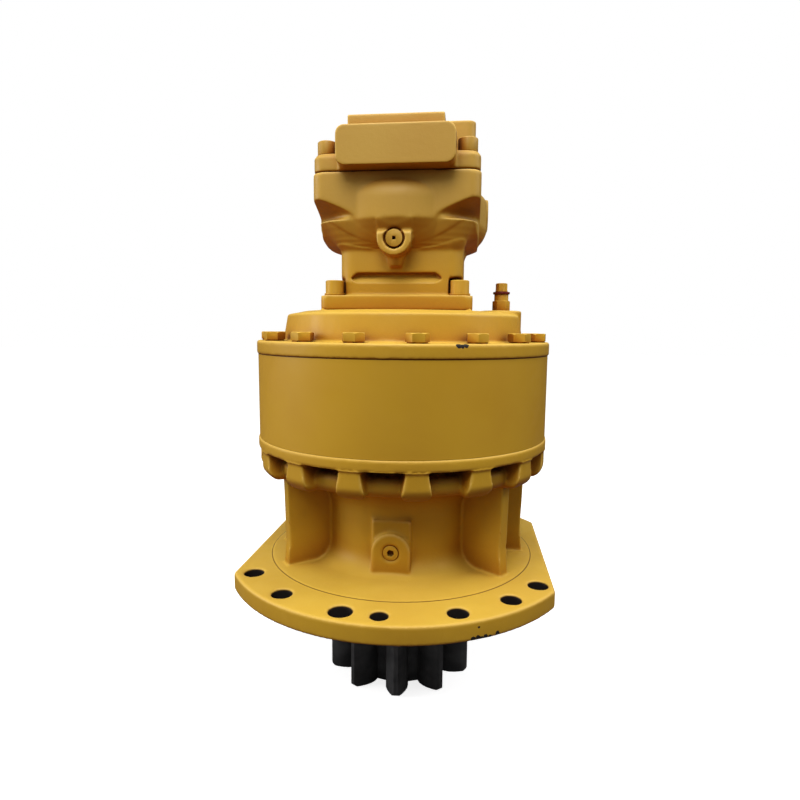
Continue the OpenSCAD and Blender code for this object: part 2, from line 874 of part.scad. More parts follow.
module bearing_cover() {
    color(dark_steel)
        difference() {
            translate([0, 0, bearing_cover_z])
                rotate_extrude()
                    polygon([
                        [seal_r, 0], [bearing_cover_r - 2, 0], [bearing_cover_r, 2],
                        [bearing_cover_r, cover_plate_t], [seal_r - 5, cover_plate_t],
                        [seal_r - 5, seal_h], [seal_r, seal_h]
                    ]);
            on_circle(cover_screw_count, cover_screw_r)
                translate([0, 0, bearing_cover_z - eps]) {
                    cylinder(r = 5.5, h = cover_plate_t + 2 * eps);
                    cylinder(r = 9, h = 8 + eps);
                }
        }
}

module cover_screws() {
    color(dark_steel)
        on_circle(cover_screw_count, cover_screw_r)
            translate([0, 0, bearing_cover_z])
                difference() {
                    union() {
                        cylinder(r = 8, h = 8);
                        cylinder(r = 5, h = cover_plate_t + 16);
                    }
                    mirror([0, 0, 1])
                        hex_socket(8, 5);
                }
}

// Output shaft assembly
module pinion_blank() {
    tip_r = pinion_m * (pinion_teeth / 2 + 1 + pinion_shift - pinion_short);
    rotate_extrude()
        polygon([
            [0, pinion_z], [tip_r - 3, pinion_z], [tip_r, pinion_z + 3], [tip_r, pinion_top_z - 3],
            [tip_r - 3, pinion_top_z], [0, pinion_top_z]
        ]);
}

module pinion_shaft() {
    spline_core_r = spline_r - spline_tooth_h - 1;
    root_r = pinion_m * (pinion_teeth / 2 - 1.25 + pinion_shift);
    tip_r = pinion_m * (pinion_teeth / 2 + 1 + pinion_shift - pinion_short);
    color(dark_steel)
        difference() {
            union() {
                intersection() {
                    at_front_angle(pinion_phase)
                        translate([0, 0, pinion_z])
                            linear_extrude(pinion_face)
                                polygon(gear_outline(pinion_teeth, pinion_m, tip_r, root_r,
                                    pinion_shift, backlash, 4));
                    pinion_blank();
                }
                rotate_extrude()
                    polygon([
                        [0, pinion_top_z - eps], [sleeve_r - 1, pinion_top_z - eps],
                        [sleeve_r - 1, sleeve_z], [shaft_low_r, sleeve_z],
                        [shaft_low_r, lower_seat_z + 2], [shaft_high_r, lower_seat_z + 22],
                        [shaft_high_r, nut_z], [shaft_high_r - 0.5, nut_z],
                        [shaft_high_r - 0.5, nut_z + nut_h], [spline_core_r, nut_z + nut_h],
                        [spline_core_r, output_plate_z + output_plate_t],
                        [0, output_plate_z + output_plate_t]
                    ]);
                translate([0, 0, hub_z])
                    linear_extrude(output_plate_z + output_plate_t - hub_z)
                        polygon(spline_outline(24, spline_r - spline_tooth_h, spline_r - fit_gap));
            }
            translate([0, 0, pinion_z - eps])
                cylinder(r1 = 11 + eps, r2 = 4, h = 10);
        }
}

module wear_sleeve() {
    color(steel)
        ring(sleeve_r, shaft_low_r, sleeve_z, lower_cup_z - sleeve_z);
}

module lower_bearing_cone() {
    color(steel)
        lower_bearing_place()
            bearing_cone(shaft_low_r, lower_cup_r, lower_bearing_h);
}

module lower_bearing_rollers() {
    color(steel)
        lower_bearing_place()
            bearing_rollers(shaft_low_r, lower_cup_r, lower_bearing_h);
}

module upper_bearing_cone() {
    color(steel)
        upper_bearing_place()
            bearing_cone(shaft_high_r, upper_cup_r, upper_bearing_h);
}

module upper_bearing_rollers() {
    color(steel)
        upper_bearing_place()
            bearing_rollers(shaft_high_r, upper_cup_r, upper_bearing_h);
}

module shaft_nut() {
    color(dark_steel)
        difference() {
            ring(nut_r, shaft_high_r - 0.5 + fit_gap, nut_z, nut_h);
            on_circle(4, nut_r)
                translate([-4, -5, nut_z - eps])
                    cube([12, 10, nut_h + 2 * eps]);
        }
}

module output_carrier() {
    post_r = 20;
    post_orbit_r = output_carrier_r - post_r;
    color(dark_steel)
        difference() {
            union() {
                translate([0, 0, hub_z])
                    cylinder(r = hub_r, h = output_plate_z - hub_z + eps);
                translate([0, 0, output_plate_z])
                    cylinder(r = output_carrier_r, h = output_plate_t);
                on_circle(output_count, post_orbit_r, 180 / output_count)
                    translate([0, 0, output_plate_z + eps])
                        cylinder(r = post_r, h = output_top_z - output_plate_z);
                ring(output_carrier_r, gear_m * (output_sun_teeth / 2 + 1) + 4, output_top_z, output_top_t);
            }
            translate([0, 0, hub_z - eps])
                linear_extrude(output_plate_z + output_plate_t - hub_z + 2 * eps)
                    polygon(spline_outline(24, spline_r - spline_tooth_h + fit_gap, spline_r));
            on_circle(output_count, output_orbit_r)
                translate([0, 0, output_plate_z - eps])
                    cylinder(r = output_pin_r, h = output_top_z + output_top_t - output_plate_z + 2 * eps);
        }
}

module output_pins() {
    color(steel)
        on_circle(output_count, output_orbit_r)
            translate([0, 0, output_plate_z])
                cylinder(r = output_pin_r, h = output_top_z + output_top_t - output_plate_z);
}

module output_bushes() {
    color("darkgoldenrod")
        on_circle(output_count, output_orbit_r)
            ring(output_pin_r + bush_t, output_pin_r, output_gear_z, output_face);
}

module planet_gear(teeth, bore_r, z, face) {
    translate([0, 0, z])
        difference() {
            linear_extrude(face)
                polygon(external_outline(teeth));
            translate([0, 0, -eps])
                cylinder(r = bore_r, h = face + 2 * eps);
        }
}

module output_planet(i) {
    a = i * 360 / output_count;
    color(steel)
        rotate([0, 0, a])
            translate([output_orbit_r, 0, 0])
                rotate([0, 0, planet_angle(a, output_planet_teeth) - a])
                    planet_gear(output_planet_teeth, output_pin_r + bush_t + fit_gap,
                        output_gear_z, output_face);
}

module output_planet_1() { output_planet(0); }
module output_planet_2() { output_planet(1); }
module output_planet_3() { output_planet(2); }
module output_planet_4() { output_planet(3); }

// Middle shaft: the sun of the output stage with the input carrier on it
module middle_sun() {
    color(steel)
        union() {
            translate([0, 0, output_gear_z + side_gap])
                linear_extrude(output_face)
                    rotate([0, 0, sun_angle(output_sun_teeth, output_planet_teeth)])
                        polygon(external_outline(output_sun_teeth));
            translate([0, 0, output_gear_z + output_face])
                cylinder(r = sun_neck_r - 3, h = input_plate_z - output_gear_z - output_face);
            translate([0, 0, input_plate_z - eps])
                linear_extrude(input_plate_t + eps)
                    polygon(spline_outline(20, sun_neck_r - 3, sun_neck_r - fit_gap));
        }
}

module input_carrier() {
    color(dark_steel)
        translate([0, 0, input_plate_z])
            difference() {
                cylinder(r = input_carrier_r, h = input_plate_t);
                translate([0, 0, -eps])
                    linear_extrude(input_plate_t + 2 * eps)
                        polygon(spline_outline(20, sun_neck_r - 3 + fit_gap, sun_neck_r));
                on_circle(input_count, input_orbit_r)
                    translate([0, 0, -eps])
                        cylinder(r = input_pin_r, h = input_plate_t + 2 * eps);
                on_circle(input_count, input_orbit_r, 180 / input_count)
                    translate([0, 0, -eps])
                        cylinder(r = input_pin_r + 2, h = input_plate_t + 2 * eps);
            }
}

module input_pins() {
    color(steel)
        on_circle(input_count, input_orbit_r) {
            translate([0, 0, input_plate_z])
                cylinder(r = input_pin_r, h = input_gear_top + 3 - input_plate_z);
            translate([0, 0, input_gear_top + side_gap])
                cylinder(r = input_pin_r + bush_t + 3, h = 3 - side_gap);
        }
}

module input_bushes() {
    color("darkgoldenrod")
        on_circle(input_count, input_orbit_r)
            ring(input_pin_r + bush_t, input_pin_r, input_gear_z, input_face);
}

module input_planet(i) {
    a = i * 360 / input_count;
    color(steel)
        rotate([0, 0, a])
            translate([input_orbit_r, 0, 0])
                rotate([0, 0, planet_angle(a, input_planet_teeth) - a])
                    planet_gear(input_planet_teeth, input_pin_r + bush_t + fit_gap,
                        input_gear_z, input_face);
}

module input_planet_1() { input_planet(0); }
module input_planet_2() { input_planet(1); }
module input_planet_3() { input_planet(2); }

// Input shaft
module input_sun() {
    color(steel)
        difference() {
            union() {
                translate([0, 0, input_gear_z + 1])
                    linear_extrude(input_face)
                        rotate([0, 0, sun_angle(input_sun_teeth, input_planet_teeth)])
                            polygon(external_outline(input_sun_teeth));
                translate([0, 0, input_gear_top])
                    cylinder(r = motor_shaft_r + 8, h = coupling_top_z - input_gear_top);
            }
            translate([0, 0, input_gear_z])
                linear_extrude(coupling_top_z - input_gear_z + eps)
                    polygon(spline_outline(16, motor_shaft_r - 4 + fit_gap, motor_shaft_r - 1));
        }
}

module motor_shaft() {
    color(steel)
        union() {
            translate([0, 0, motor_shaft_z])
                linear_extrude(coupling_top_z - motor_shaft_z)
                    polygon(spline_outline(16, motor_shaft_r - 4, motor_shaft_r - 1 - fit_gap));
            rotate_extrude()
                polygon([
                    [0, coupling_top_z - eps], [motor_shaft_r - 4, coupling_top_z - eps],
                    [motor_shaft_r - 4, coupling_top_z], [motor_shaft_r, coupling_top_z + 3],
                    [motor_shaft_r, bearing_bore_z - 1], [motor_cone_r, bearing_bore_z - 1],
                    [motor_cone_r, bearing_bore_z + motor_bearing_h],
                    [motor_cone_r + 3, bearing_bore_z + motor_bearing_h],
                    [motor_cone_r + 3, bearing_bore_z + motor_bearing_h + 6],
                    [motor_shaft_r, bearing_bore_z + motor_bearing_h + 6],
                    [motor_shaft_r, block_z], [motor_shaft_r - 1.5, block_z],
                    [motor_shaft_r - 1.5, block_top_z], [journal_r, block_top_z + 2],
                    [journal_r, split_z + head_bearing_h], [0, split_z + head_bearing_h]
                ]);
        }
}

module casing_bearing_cup() {
    color(steel)
        motor_bearing_place()
            bearing_cup(motor_cone_r, motor_cup_r, motor_bearing_h);
}

module casing_bearing_cone() {
    color(steel)
        motor_bearing_place()
            bearing_cone(motor_cone_r, motor_cup_r, motor_bearing_h);
}

module casing_bearing_rollers() {
    color(steel)
        motor_bearing_place()
            bearing_rollers(motor_cone_r, motor_cup_r, motor_bearing_h);
}

module head_bearing() {
    color(steel)
        ring(head_bearing_r, journal_r + fit_gap, split_z + 1, head_bearing_h - 2);
}

module motor_seal() {
    color(dark_steel)
        translate([0, 0, seat_z - spigot_h])
            rotate_extrude()
                polygon([
                    [motor_shaft_r + fit_gap, 4], [motor_shaft_r + fit_gap, 6],
                    [motor_shaft_r + 5, 8], [motor_shaft_r + 14, 8], [motor_shaft_r + 14, 10],
                    [motor_shaft_r + 16, 10], [motor_shaft_r + 16, 0], [motor_shaft_r + 2, 0]
                ]);
}

// Motor casing
module casing_outside() {
    bowl_arc = 45;
    translate([0, 0, seat_z - spigot_h])
        cylinder(r = spigot_r - fit_gap, h = spigot_h + eps);
    translate([0, 0, seat_z])
        linear_extrude(base_t)
            rounded_rect(base_w, base_w, 10);
    translate([neck_offset, 0, neck_z - eps])
        linear_extrude(block_floor_z - neck_z + 6)
            rounded_rect(neck_w, neck_d, neck_corner_r);
    rotate_extrude()
        polygon(concat(
            [[0, ridge_z - 35]],
            arc(body_r - 44.4, ridge_z + 7.3, bowl_arc, -70, -9.3, 6),
            [[body_r, shoulder_z]],
            arc(body_r - 11, shoulder_z, 11, 0, 80, 5),
            [[0, shoulder_z + 11]]
        ));
    casing_ledge();
    casing_corners();
}

// Square joint for the head, whose corners run down to the round body in a cone
module casing_corners() {
    joint_rise = split_z - ridge_z;
    intersection() {
        translate([0, 0, ridge_z - eps])
            linear_extrude(joint_rise + eps)
                rounded_rect(corner_w, corner_w, head_corner_r);
        rotate_extrude()
            polygon([
                [0, ridge_z - eps], [body_r - 2, ridge_z - eps], [body_r, ridge_z + 1],
                [corner_reach, ridge_z + corner_rise], [corner_reach + eps, split_z], [0, split_z]
            ]);
    }
}

// Square ledge that widens the ridge at its corners, rounded off below like a bowl
module casing_ledge() {
    ledge_arc = 55;
    ledge_r = body_r + 14;
    intersection() {
        translate([0, 0, ridge_z - 36])
            linear_extrude(36)
                rounded_rect(ledge_w, ledge_w, 38);
        rotate_extrude()
            polygon(concat(
                [[0, ridge_z - 35]],
                arc(ledge_r - 51.6, ridge_z + 19, ledge_arc, -78.9, -20.2, 6),
                [[ledge_r, ridge_z + eps], [0, ridge_z + eps]]
            ));
    }
}

// Boss round the casing plug and boss for the side plug
module casing_bosses() {
    plug_boss_r = 21;
    translate([0, 1 - body_r, seat_z + casing_plug_z])
        rotate([-90, 0, 0])
            cylinder(r = plug_boss_r, h = 60);
    translate([-plug_boss_r, 1 - body_r, seat_z + casing_plug_z])
        cube([2 * plug_boss_r, 60, ridge_h - casing_plug_z]);
    translate([0, -neck_d / 2 - 2, seat_z + casing_plug_z - 32])
        cylinder(r1 = 7, r2 = plug_boss_r - 2, h = 32);
    translate([body_r - 40, 0, side_boss_z])
        rotate([0, 90, 0])
            cylinder(r = side_boss_r, h = 41);
}

module casing_inside() {
    rotate_extrude()
        polygon([
            [0, seat_z - spigot_h - eps], [motor_shaft_r + 16, seat_z - spigot_h - eps],
            [motor_shaft_r + 16, seat_z + 1], [motor_shaft_r + 8, seat_z + 1],
            [motor_shaft_r + 8, bearing_bore_z], [motor_cup_r, bearing_bore_z],
            [motor_cup_r, swash_floor_z], [neck_in_r, swash_floor_z], [neck_in_r, block_floor_z],
            [cavity_r, block_floor_z + 8], [cavity_r, brake_stack_z], [plate_r, brake_stack_z],
            [plate_r, brake_step_z], [brake_bore_r, brake_step_z], [brake_bore_r, split_z + eps],
            [0, split_z + eps]
        ]);
}

// Long shallow slot with slanted ends in the front of the neck
module neck_slot() {
    slot_half = 58;
    slot_h = 13;
    slot_end = 9;
    slot_depth = 8;
    translate([0, slot_depth - neck_d / 2, neck_z + 15])
        rotate([90, 0, 0])
            linear_extrude(slot_depth + eps)
                polygon([
                    [-slot_half, slot_h / 2], [slot_end - slot_half, slot_h],
                    [slot_half - slot_end, slot_h], [slot_half, slot_h / 2],
                    [slot_half - slot_end, 0], [slot_end - slot_half, 0]
                ]);
}

module motor_casing() {
    color(paint)
        difference() {
            union() {
                casing_outside();
                casing_bosses();
            }
            casing_inside();
            neck_slot();
            at_corners(base_screw_x) {
                translate([0, 0, neck_z])
                    cylinder(r = cap_screw_r + 2, h = cap_screw_h + cap_washer_t + 3);
                translate([0, 0, seat_z - eps])
                    cylinder(r = bolt_hole_r, h = base_t + 2 * eps);
            }
            at_corners(head_screw_x)
                translate([0, 0, split_z - head_screw_depth])
                    cylinder(r = bolt_r + fit_gap, h = head_screw_depth + eps);
            plug_hole(body_r - 1, seat_z + casing_plug_z, 13.2, 7, 8, 30);
            translate([body_r - 8, 0, side_boss_z])
                rotate([0, 90, 0])
                    cylinder(r = boss_plug_r + fit_gap, h = 12);
        }
}

module base_screws() {
    color(paint)
        at_corners(base_screw_x)
            translate([0, 0, neck_z])
                cap_screw(bolt_r, base_t + 16, cap_screw_r, cap_screw_h, cap_washer_t);
}

module casing_plug() {
    color(paint)
        front_plug(body_r - 1, seat_z + casing_plug_z, 10.4, 7, 5, 8 - fit_gap, 22, 2.8, 4);
}

module side_plug() {
    color(dark_steel)
        translate([body_r - 8, 0, side_boss_z])
            rotate([0, 90, 0])
                difference() {
                    cylinder(r = boss_plug_r, h = 7);
                    translate([0, 0, 7])
                        hex_socket(6, 4);
                }
}

// Head casing with its ports
module head_outside() {
    top_front = 100;
    top_back = 40;
    box_depth = 20;
    translate([0, 0, split_z]) {
        linear_extrude(head_t - 4)
            rounded_rect(head_w, head_w, head_corner_r);
        translate([0, 0, head_t - 4 - eps])
            linear_extrude(4 + eps)
                rounded_rect(head_w - 5, head_w - 5, head_corner_r - 2);
    }
    translate([-head_top_w / 2, -top_front, split_z + eps])
        cube([head_top_w, top_front + top_back, head_top_h - eps]);
    translate([box_offset, -box_y, box_z + box_h / 2])
        rotate([-90, 0, 0])
            linear_extrude(box_depth + eps)
                rounded_rect(box_w, box_h, 11);
    translate([box_offset - box_w / 2, box_depth - box_y, split_z + eps])
        cube([box_w, 50, box_h + box_lift - 3 - eps]);
    translate([tower_x, tower_y, split_z + eps])
        linear_extrude(tower_h - eps)
            rounded_rect(tower_w, tower_d, 11);
    translate([-port_block_w / 2, 40, split_z])
        cube([port_block_w, port_block_y - 40, port_block_top - split_z]);
}

module head_ports() {
    for (side = [-1, 1])
        translate([side * port_pitch / 2, port_block_y, port_z])
            rotate([90, 0, 0]) {
                translate([0, 0, -eps])
                    cylinder(d = port_d, h = port_depth + eps);
                for (sx = [-1, 1], sz = [-1, 1])
                    translate([sx * port_bolt_long / 2, sz * port_bolt_short / 2, -eps])
                        cylinder(r = 4.2, h = 18 + eps);
            }
}

module head_casing() {
    color(paint)
        difference() {
            head_outside();
            head_ports();
            translate([0, 0, split_z - eps])
                cylinder(r = head_bearing_r, h = head_bearing_h + 3 + eps);
            at_corners(head_screw_x)
                translate([0, 0, split_z - eps])
                    cylinder(r = bolt_hole_r, h = head_t + 2 * eps);
            for (side = [-1, 1]) {
                translate([side * port_pitch / 2, valve_y, port_block_top - valve_shank_h])
                    cylinder(r = 9 + fit_gap, h = valve_shank_h + eps);
                translate([side * makeup_x, makeup_y, head_top_z - makeup_shank_h])
                    cylinder(r = 12 + fit_gap, h = makeup_shank_h + eps);
            }
        }
}

module head_screws() {
    color(paint)
        at_corners(head_screw_x)
            translate([0, 0, head_z])
                cap_screw(bolt_r, head_t + head_screw_depth - 2, cap_screw_r, cap_screw_h, 0);
}

module relief_valves() {
    color(steel)
        for (side = [-1, 1])
            translate([side * port_pitch / 2, valve_y, port_block_top]) {
                translate([0, 0, -valve_shank_h])
                    cylinder(r = 9, h = valve_shank_h + eps);
                hex_prism(27, 10);
                translate([0, 0, 10 - eps])
                    cylinder(r = 7, h = 8 + eps);
                translate([0, 0, 18])
                    hex_prism(10, 5);
            }
}

module makeup_plugs() {
    color(steel)
        for (side = [-1, 1])
            translate([side * makeup_x, makeup_y, head_top_z])
                difference() {
                    union() {
                        translate([0, 0, -makeup_shank_h])
                            cylinder(r = 12, h = makeup_shank_h + eps);
                        cylinder(r = 15, h = 3);
                    }
                    translate([0, 0, 3])
                        hex_socket(10, 8);
                }
}

// Rotary group and brake
module swash_plate() {
    color(steel)
        difference() {
            translate([0, 0, swash_floor_z])
                cylinder(r = swash_r, h = swash_centre_z - swash_floor_z + 30);
            translate([0, 0, swash_centre_z])
                rotate([0, -swash_angle, 0])
                    translate([-2 * swash_r, -2 * swash_r, 0])
                        cube([4 * swash_r, 4 * swash_r, swash_r]);
            translate([0, 0, swash_floor_z - eps])
                cylinder(r = motor_cone_r + 4, h = block_z - swash_floor_z);
        }
}

// Ball centre of piston i
function ball_centre(i) =
    let (
        x = piston_circle_r * cos(i * 360 / piston_count),
        y = piston_circle_r * sin(i * 360 / piston_count)
    )
    [x, y, swash_centre_z + ball_rise + x * tan(swash_angle)];

module at_ball(i) {
    translate(ball_centre(i))
        children();
}

// Places a child on the swash plate, square to it, below the ball of piston i
module at_shoe(i) {
    translate(ball_centre(i))
        rotate([0, -swash_angle, 0])
            translate([0, 0, -shoe_ball_h])
                children();
}

module piston_shoes() {
    color("darkgoldenrod")
        for (i = [0:piston_count - 1])
            difference() {
                at_shoe(i) {
                    cylinder(r = shoe_r - 0.5, h = shoe_flange_t, $fn = 32);
                    cylinder(r = ball_r + 2.5, h = shoe_ball_h + 3, $fn = 32);
                }
                at_ball(i)
                    sphere(r = ball_r + fit_gap, $fn = 32);
            }
}

// The highest piston ends just below the end of its bore
module pistons() {
    neck_h = 12;
    highest = swash_centre_z + ball_rise + piston_circle_r * tan(swash_angle) + neck_h;
    color(steel)
        for (i = [0:piston_count - 1])
            at_ball(i) {
                sphere(r = ball_r, $fn = 32);
                cylinder(r = 5, h = neck_h + eps);
                translate([0, 0, neck_h])
                    cylinder(r = piston_r - fit_gap, h = bore_end_z - 2 - highest);
            }
}

module retainer_plate() {
    color(steel)
        translate([0, 0, swash_centre_z + ball_rise])
            rotate([0, -swash_angle, 0])
                translate([0, 0, shoe_flange_t + fit_gap - shoe_ball_h])
                    difference() {
                        cylinder(r = piston_circle_r + shoe_r - 1, h = retainer_t);
                        translate([0, 0, -eps])
                            cylinder(r = guide_r, h = retainer_t + 2 * eps);
                        for (i = [0:piston_count - 1])
                            translate([ball_centre(i)[0] / cos(swash_angle), ball_centre(i)[1], -eps])
                                cylinder(r = ball_r + 3, h = retainer_t + 2 * eps, $fn = 32);
                    }
}

module retainer_guide() {
    color(steel)
        difference() {
            union() {
                intersection() {
                    translate([0, 0, swash_centre_z + ball_rise])
                        sphere(r = guide_r);
                    translate([0, 0, swash_centre_z + 9])
                        cylinder(r = 30, h = 12);
                }
                translate([0, 0, swash_centre_z + 16])
                    cylinder(r = 23.5, h = block_z - swash_centre_z - 16);
            }
            translate([0, 0, swash_centre_z])
                cylinder(r = motor_shaft_r + run_gap, h = 80);
        }
}

module cylinder_block() {
    color(steel)
        translate([0, 0, block_z])
            difference() {
                cylinder(r = block_r, h = block_h);
                translate([0, 0, -eps])
                    cylinder(r = motor_shaft_r + run_gap, h = block_h + 2 * eps);
                for (i = [0:piston_count - 1])
                    rotate([0, 0, i * 360 / piston_count])
                        translate([piston_circle_r, 0, -eps]) {
                            cylinder(r = piston_r, h = bore_end_z - block_z + eps);
                            cylinder(r = 5, h = block_h + 2 * eps);
                        }
            }
}

module valve_plate() {
    color("darkgoldenrod")
        translate([0, 0, block_top_z])
            difference() {
                cylinder(r = block_r - 2, h = valve_plate_t);
                translate([0, 0, -eps])
                    cylinder(r = motor_shaft_r + 1, h = valve_plate_t + 2 * eps);
                for (side = [0, 180])
                    rotate([0, 0, side])
                        rotate([0, 0, -70])
                            rotate_extrude(angle = 140)
                                translate([piston_circle_r - 4, -eps])
                                    square([8, valve_plate_t + 2 * eps]);
            }
}

module brake_discs() {
    color("saddlebrown")
        for (i = [0:brake_disc_count - 1])
            ring(plate_r - 5, block_r + fit_gap, brake_stack_z + (2 * i + 1) * brake_pitch, brake_t);
}

module brake_plates() {
    color(steel)
        for (i = [0:brake_disc_count])
            ring(plate_r - fit_gap, block_r + 6, brake_stack_z + 2 * i * brake_pitch, brake_t);
}

module brake_piston() {
    color(steel)
        difference() {
            rotate_extrude()
                polygon([
                    [brake_in_r, brake_piston_z], [plate_r - fit_gap, brake_piston_z],
                    [plate_r - fit_gap, brake_step_z + 5], [brake_bore_r - fit_gap, brake_step_z + 5],
                    [brake_bore_r - fit_gap, brake_piston_top], [brake_in_r, brake_piston_top]
                ]);
            on_circle(spring_count, spring_circle_r)
                translate([0, 0, brake_piston_top - spring_pocket_h])
                    cylinder(r = spring_pocket_r, h = spring_pocket_h + eps);
        }
}

// Closed helical wire as rings of points joined by quads
module coil(radius, wire_r, z0, z1, turns, sides = 5, per_turn = 8) {
    count = turns * per_turn;
    points = [for (i = [0:count], s = [0:sides - 1])
        let (
            a = i * 360 / per_turn,
            b = s * 360 / sides,
            rr = radius + wire_r * cos(b)
        )
        [rr * cos(a), rr * sin(a), z0 + wire_r + (z1 - z0 - 2 * wire_r) * i / count + wire_r * sin(b)]];
    faces = [for (i = [0:count - 1], s = [0:sides - 1], half = [0, 1])
        let (a = i * sides + s, b = i * sides + (s + 1) % sides)
        half == 0 ? [a, a + sides, b + sides] : [a, b + sides, b]];
    ends = [[for (s = [0:sides - 1]) s], [for (s = [sides - 1:-1:0]) count * sides + s]];
    polyhedron(points, concat(faces, ends), convexity = 4);
}

module brake_springs() {
    color(dark_steel)
        on_circle(spring_count, spring_circle_r)
            coil(5, 1.2, brake_piston_top - spring_pocket_h + run_gap, split_z - run_gap, 4);
}

lower_housing();
ring_gear();
top_cover();
ring_bolts();
lower_bearing_cup();
upper_bearing_cup();
output_seal();
bearing_cover();
cover_screws();
gearbox_plug();
breather_body();
breather_washer();
breather_cap();
motor_casing();
base_screws();
head_casing();
head_screws();
casing_plug();
side_plug();
motor_seal();
casing_bearing_cup();
head_bearing();
swash_plate();
valve_plate();
cylinder_block();
pistons();
piston_shoes();
retainer_plate();
retainer_guide();
brake_discs();
brake_plates();
brake_springs();
relief_valves();
makeup_plugs();
brake_piston();
pinion_shaft();
wear_sleeve();
lower_bearing_cone();
lower_bearing_rollers();
upper_bearing_cone();
upper_bearing_rollers();
shaft_nut();
output_carrier();
output_pins();
output_bushes();
output_planet_1();
output_planet_2();
output_planet_3();
output_planet_4();
middle_sun();
input_carrier();
input_pins();
input_bushes();
input_planet_1();
input_planet_2();
input_planet_3();
input_sun();
motor_shaft();
casing_bearing_cone();
casing_bearing_rollers();
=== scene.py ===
"""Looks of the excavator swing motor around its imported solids. All lengths are in metres."""

import json
import math

import bmesh
import bpy
from mathutils import Matrix, Vector

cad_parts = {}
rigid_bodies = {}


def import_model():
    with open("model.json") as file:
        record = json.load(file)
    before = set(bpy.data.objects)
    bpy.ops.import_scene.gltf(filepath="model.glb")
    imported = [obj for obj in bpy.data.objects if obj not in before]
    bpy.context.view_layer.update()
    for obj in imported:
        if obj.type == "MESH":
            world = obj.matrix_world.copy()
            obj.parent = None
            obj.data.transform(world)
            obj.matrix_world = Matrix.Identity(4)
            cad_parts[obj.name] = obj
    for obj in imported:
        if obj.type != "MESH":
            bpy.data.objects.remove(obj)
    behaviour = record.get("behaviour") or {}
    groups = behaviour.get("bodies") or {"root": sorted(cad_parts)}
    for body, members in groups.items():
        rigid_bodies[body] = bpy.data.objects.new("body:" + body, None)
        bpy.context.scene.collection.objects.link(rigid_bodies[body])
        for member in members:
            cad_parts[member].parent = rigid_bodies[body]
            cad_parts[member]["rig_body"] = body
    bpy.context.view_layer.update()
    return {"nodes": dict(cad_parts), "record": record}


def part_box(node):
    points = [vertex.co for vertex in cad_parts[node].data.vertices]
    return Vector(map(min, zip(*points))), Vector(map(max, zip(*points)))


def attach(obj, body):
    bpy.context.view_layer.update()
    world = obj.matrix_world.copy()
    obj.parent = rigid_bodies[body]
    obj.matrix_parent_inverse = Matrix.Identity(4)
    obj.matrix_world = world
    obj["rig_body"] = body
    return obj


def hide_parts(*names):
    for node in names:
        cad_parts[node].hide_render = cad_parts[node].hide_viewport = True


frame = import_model()

# Camera, measured from the photograph
CAMERA_DISTANCE = 0.8189
CAMERA_HEIGHT = 0.3345
CAMERA_AZIMUTH = 6.28
CAMERA_YAW = 0.245
CAMERA_PITCH = 6.84
CAMERA_ROLL = 0.47
SENSOR_WIDTH = 36.0
FOCAL_PIXELS = 577.68
FRAME_PIXELS = 800
CAMERA_CLIP = (0.02, 60)

# Levels and radii that the looks depend on, read from the solids
HOUSING_FOOT_TO_DECK = 0.049
FLOOR_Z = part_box("pinion_shaft")[0].z
DECK_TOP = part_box("lower_housing")[0].z + HOUSING_FOOT_TO_DECK
JOINT_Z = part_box("ring_gear")[0].z
COVER_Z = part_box("ring_gear")[1].z
SEAT_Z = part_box("top_cover")[1].z
SPLIT_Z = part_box("motor_casing")[1].z
JOINT_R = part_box("top_cover")[1].y
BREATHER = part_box("breather_body")

# Motor casing as its solid has it
BODY_R = 0.113
RIDGE_Z = SEAT_Z + 0.106
LEDGE_R = 0.127
LEDGE_HALF = 0.101
NECK_OFFSET = 0.005
NECK_HALF_X = 0.078
NECK_HALF_Y = 0.085
HEAD_HALF = 0.103
SIDE_BOSS_HALF = 0.025
BASE_HALF = 0.0955
BASE_T = 0.015

# Colours as they show in even light, red, green and blue out of 255; the paint's top and under colours are
# lit and shaded copies of it, for painted light and shade
PAINT_TOP_LIGHT = (222, 182, 70)
PAINT_SIDE = (204, 157, 42)
PAINT_UNDER_SHADE = (162, 93, 8)
# Painted highlight on outer edges that look up
PAINT_EDGE_HIGHLIGHT = (236, 196, 104)
PAINT_MOTOR = (196, 155, 70)
# Dark lines in the joints, and painted shade deep in hollows
DARK_SEAM_AND_SHADE = (88, 44, 4)
PRIMER = (34, 28, 26)
# Bare steel in the flange holes, darkened with painted shade
BARE_STEEL_IN_SHADE = (30, 24, 22)
# Bare metal, darker in its hollows
STEEL_HOLLOW_TONE = (26, 22, 18)
RUBBER_DARK = (18, 18, 19)
RUBBER_PALE = (38, 36, 35)
LINING_DARK = (74, 52, 40)
LINING_PALE = (128, 98, 74)

# How far into corners the paint looks for hollows to fill with painted shade, and the bare metal for hollows
# to darken
PAINT_HOLLOW = 0.06
STEEL_HOLLOW = 0.006

# Height above the motor's seat over which the paint turns to that of the motor
MOTOR_PAINT_START = 0.02
MOTOR_PAINT_FULL = 0.13

# Half widths of the dark lines in the joints and round the disc on the deck, and half the height of the last
COVER_SEAM = 0.00055
SPLIT_SEAM = 0.0005
DISC_SEAM = 0.0006
DISC_SEAM_H = 0.0045

# Where the looks change on the lower housing, in the plane of the deck
FLANGE_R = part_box("lower_housing")[1].y
DISC_R = FLANGE_R - 0.055
DECK_HOLE_CIRCLE = FLANGE_R - 0.0235
FRONT_HOLE_ANGLE = 58

# Angle from the front towards the right and radius of each hole, which the back repeats but for the last
DECK_HOLES = [
    (-54.9, 0.0125), (-34.6, 0.0125), (-11.9, 0.014), (0, 0.0105), (23.5, 0.0125), (43, 0.0125),
    (FRONT_HOLE_ANGLE, 0.0125),
]

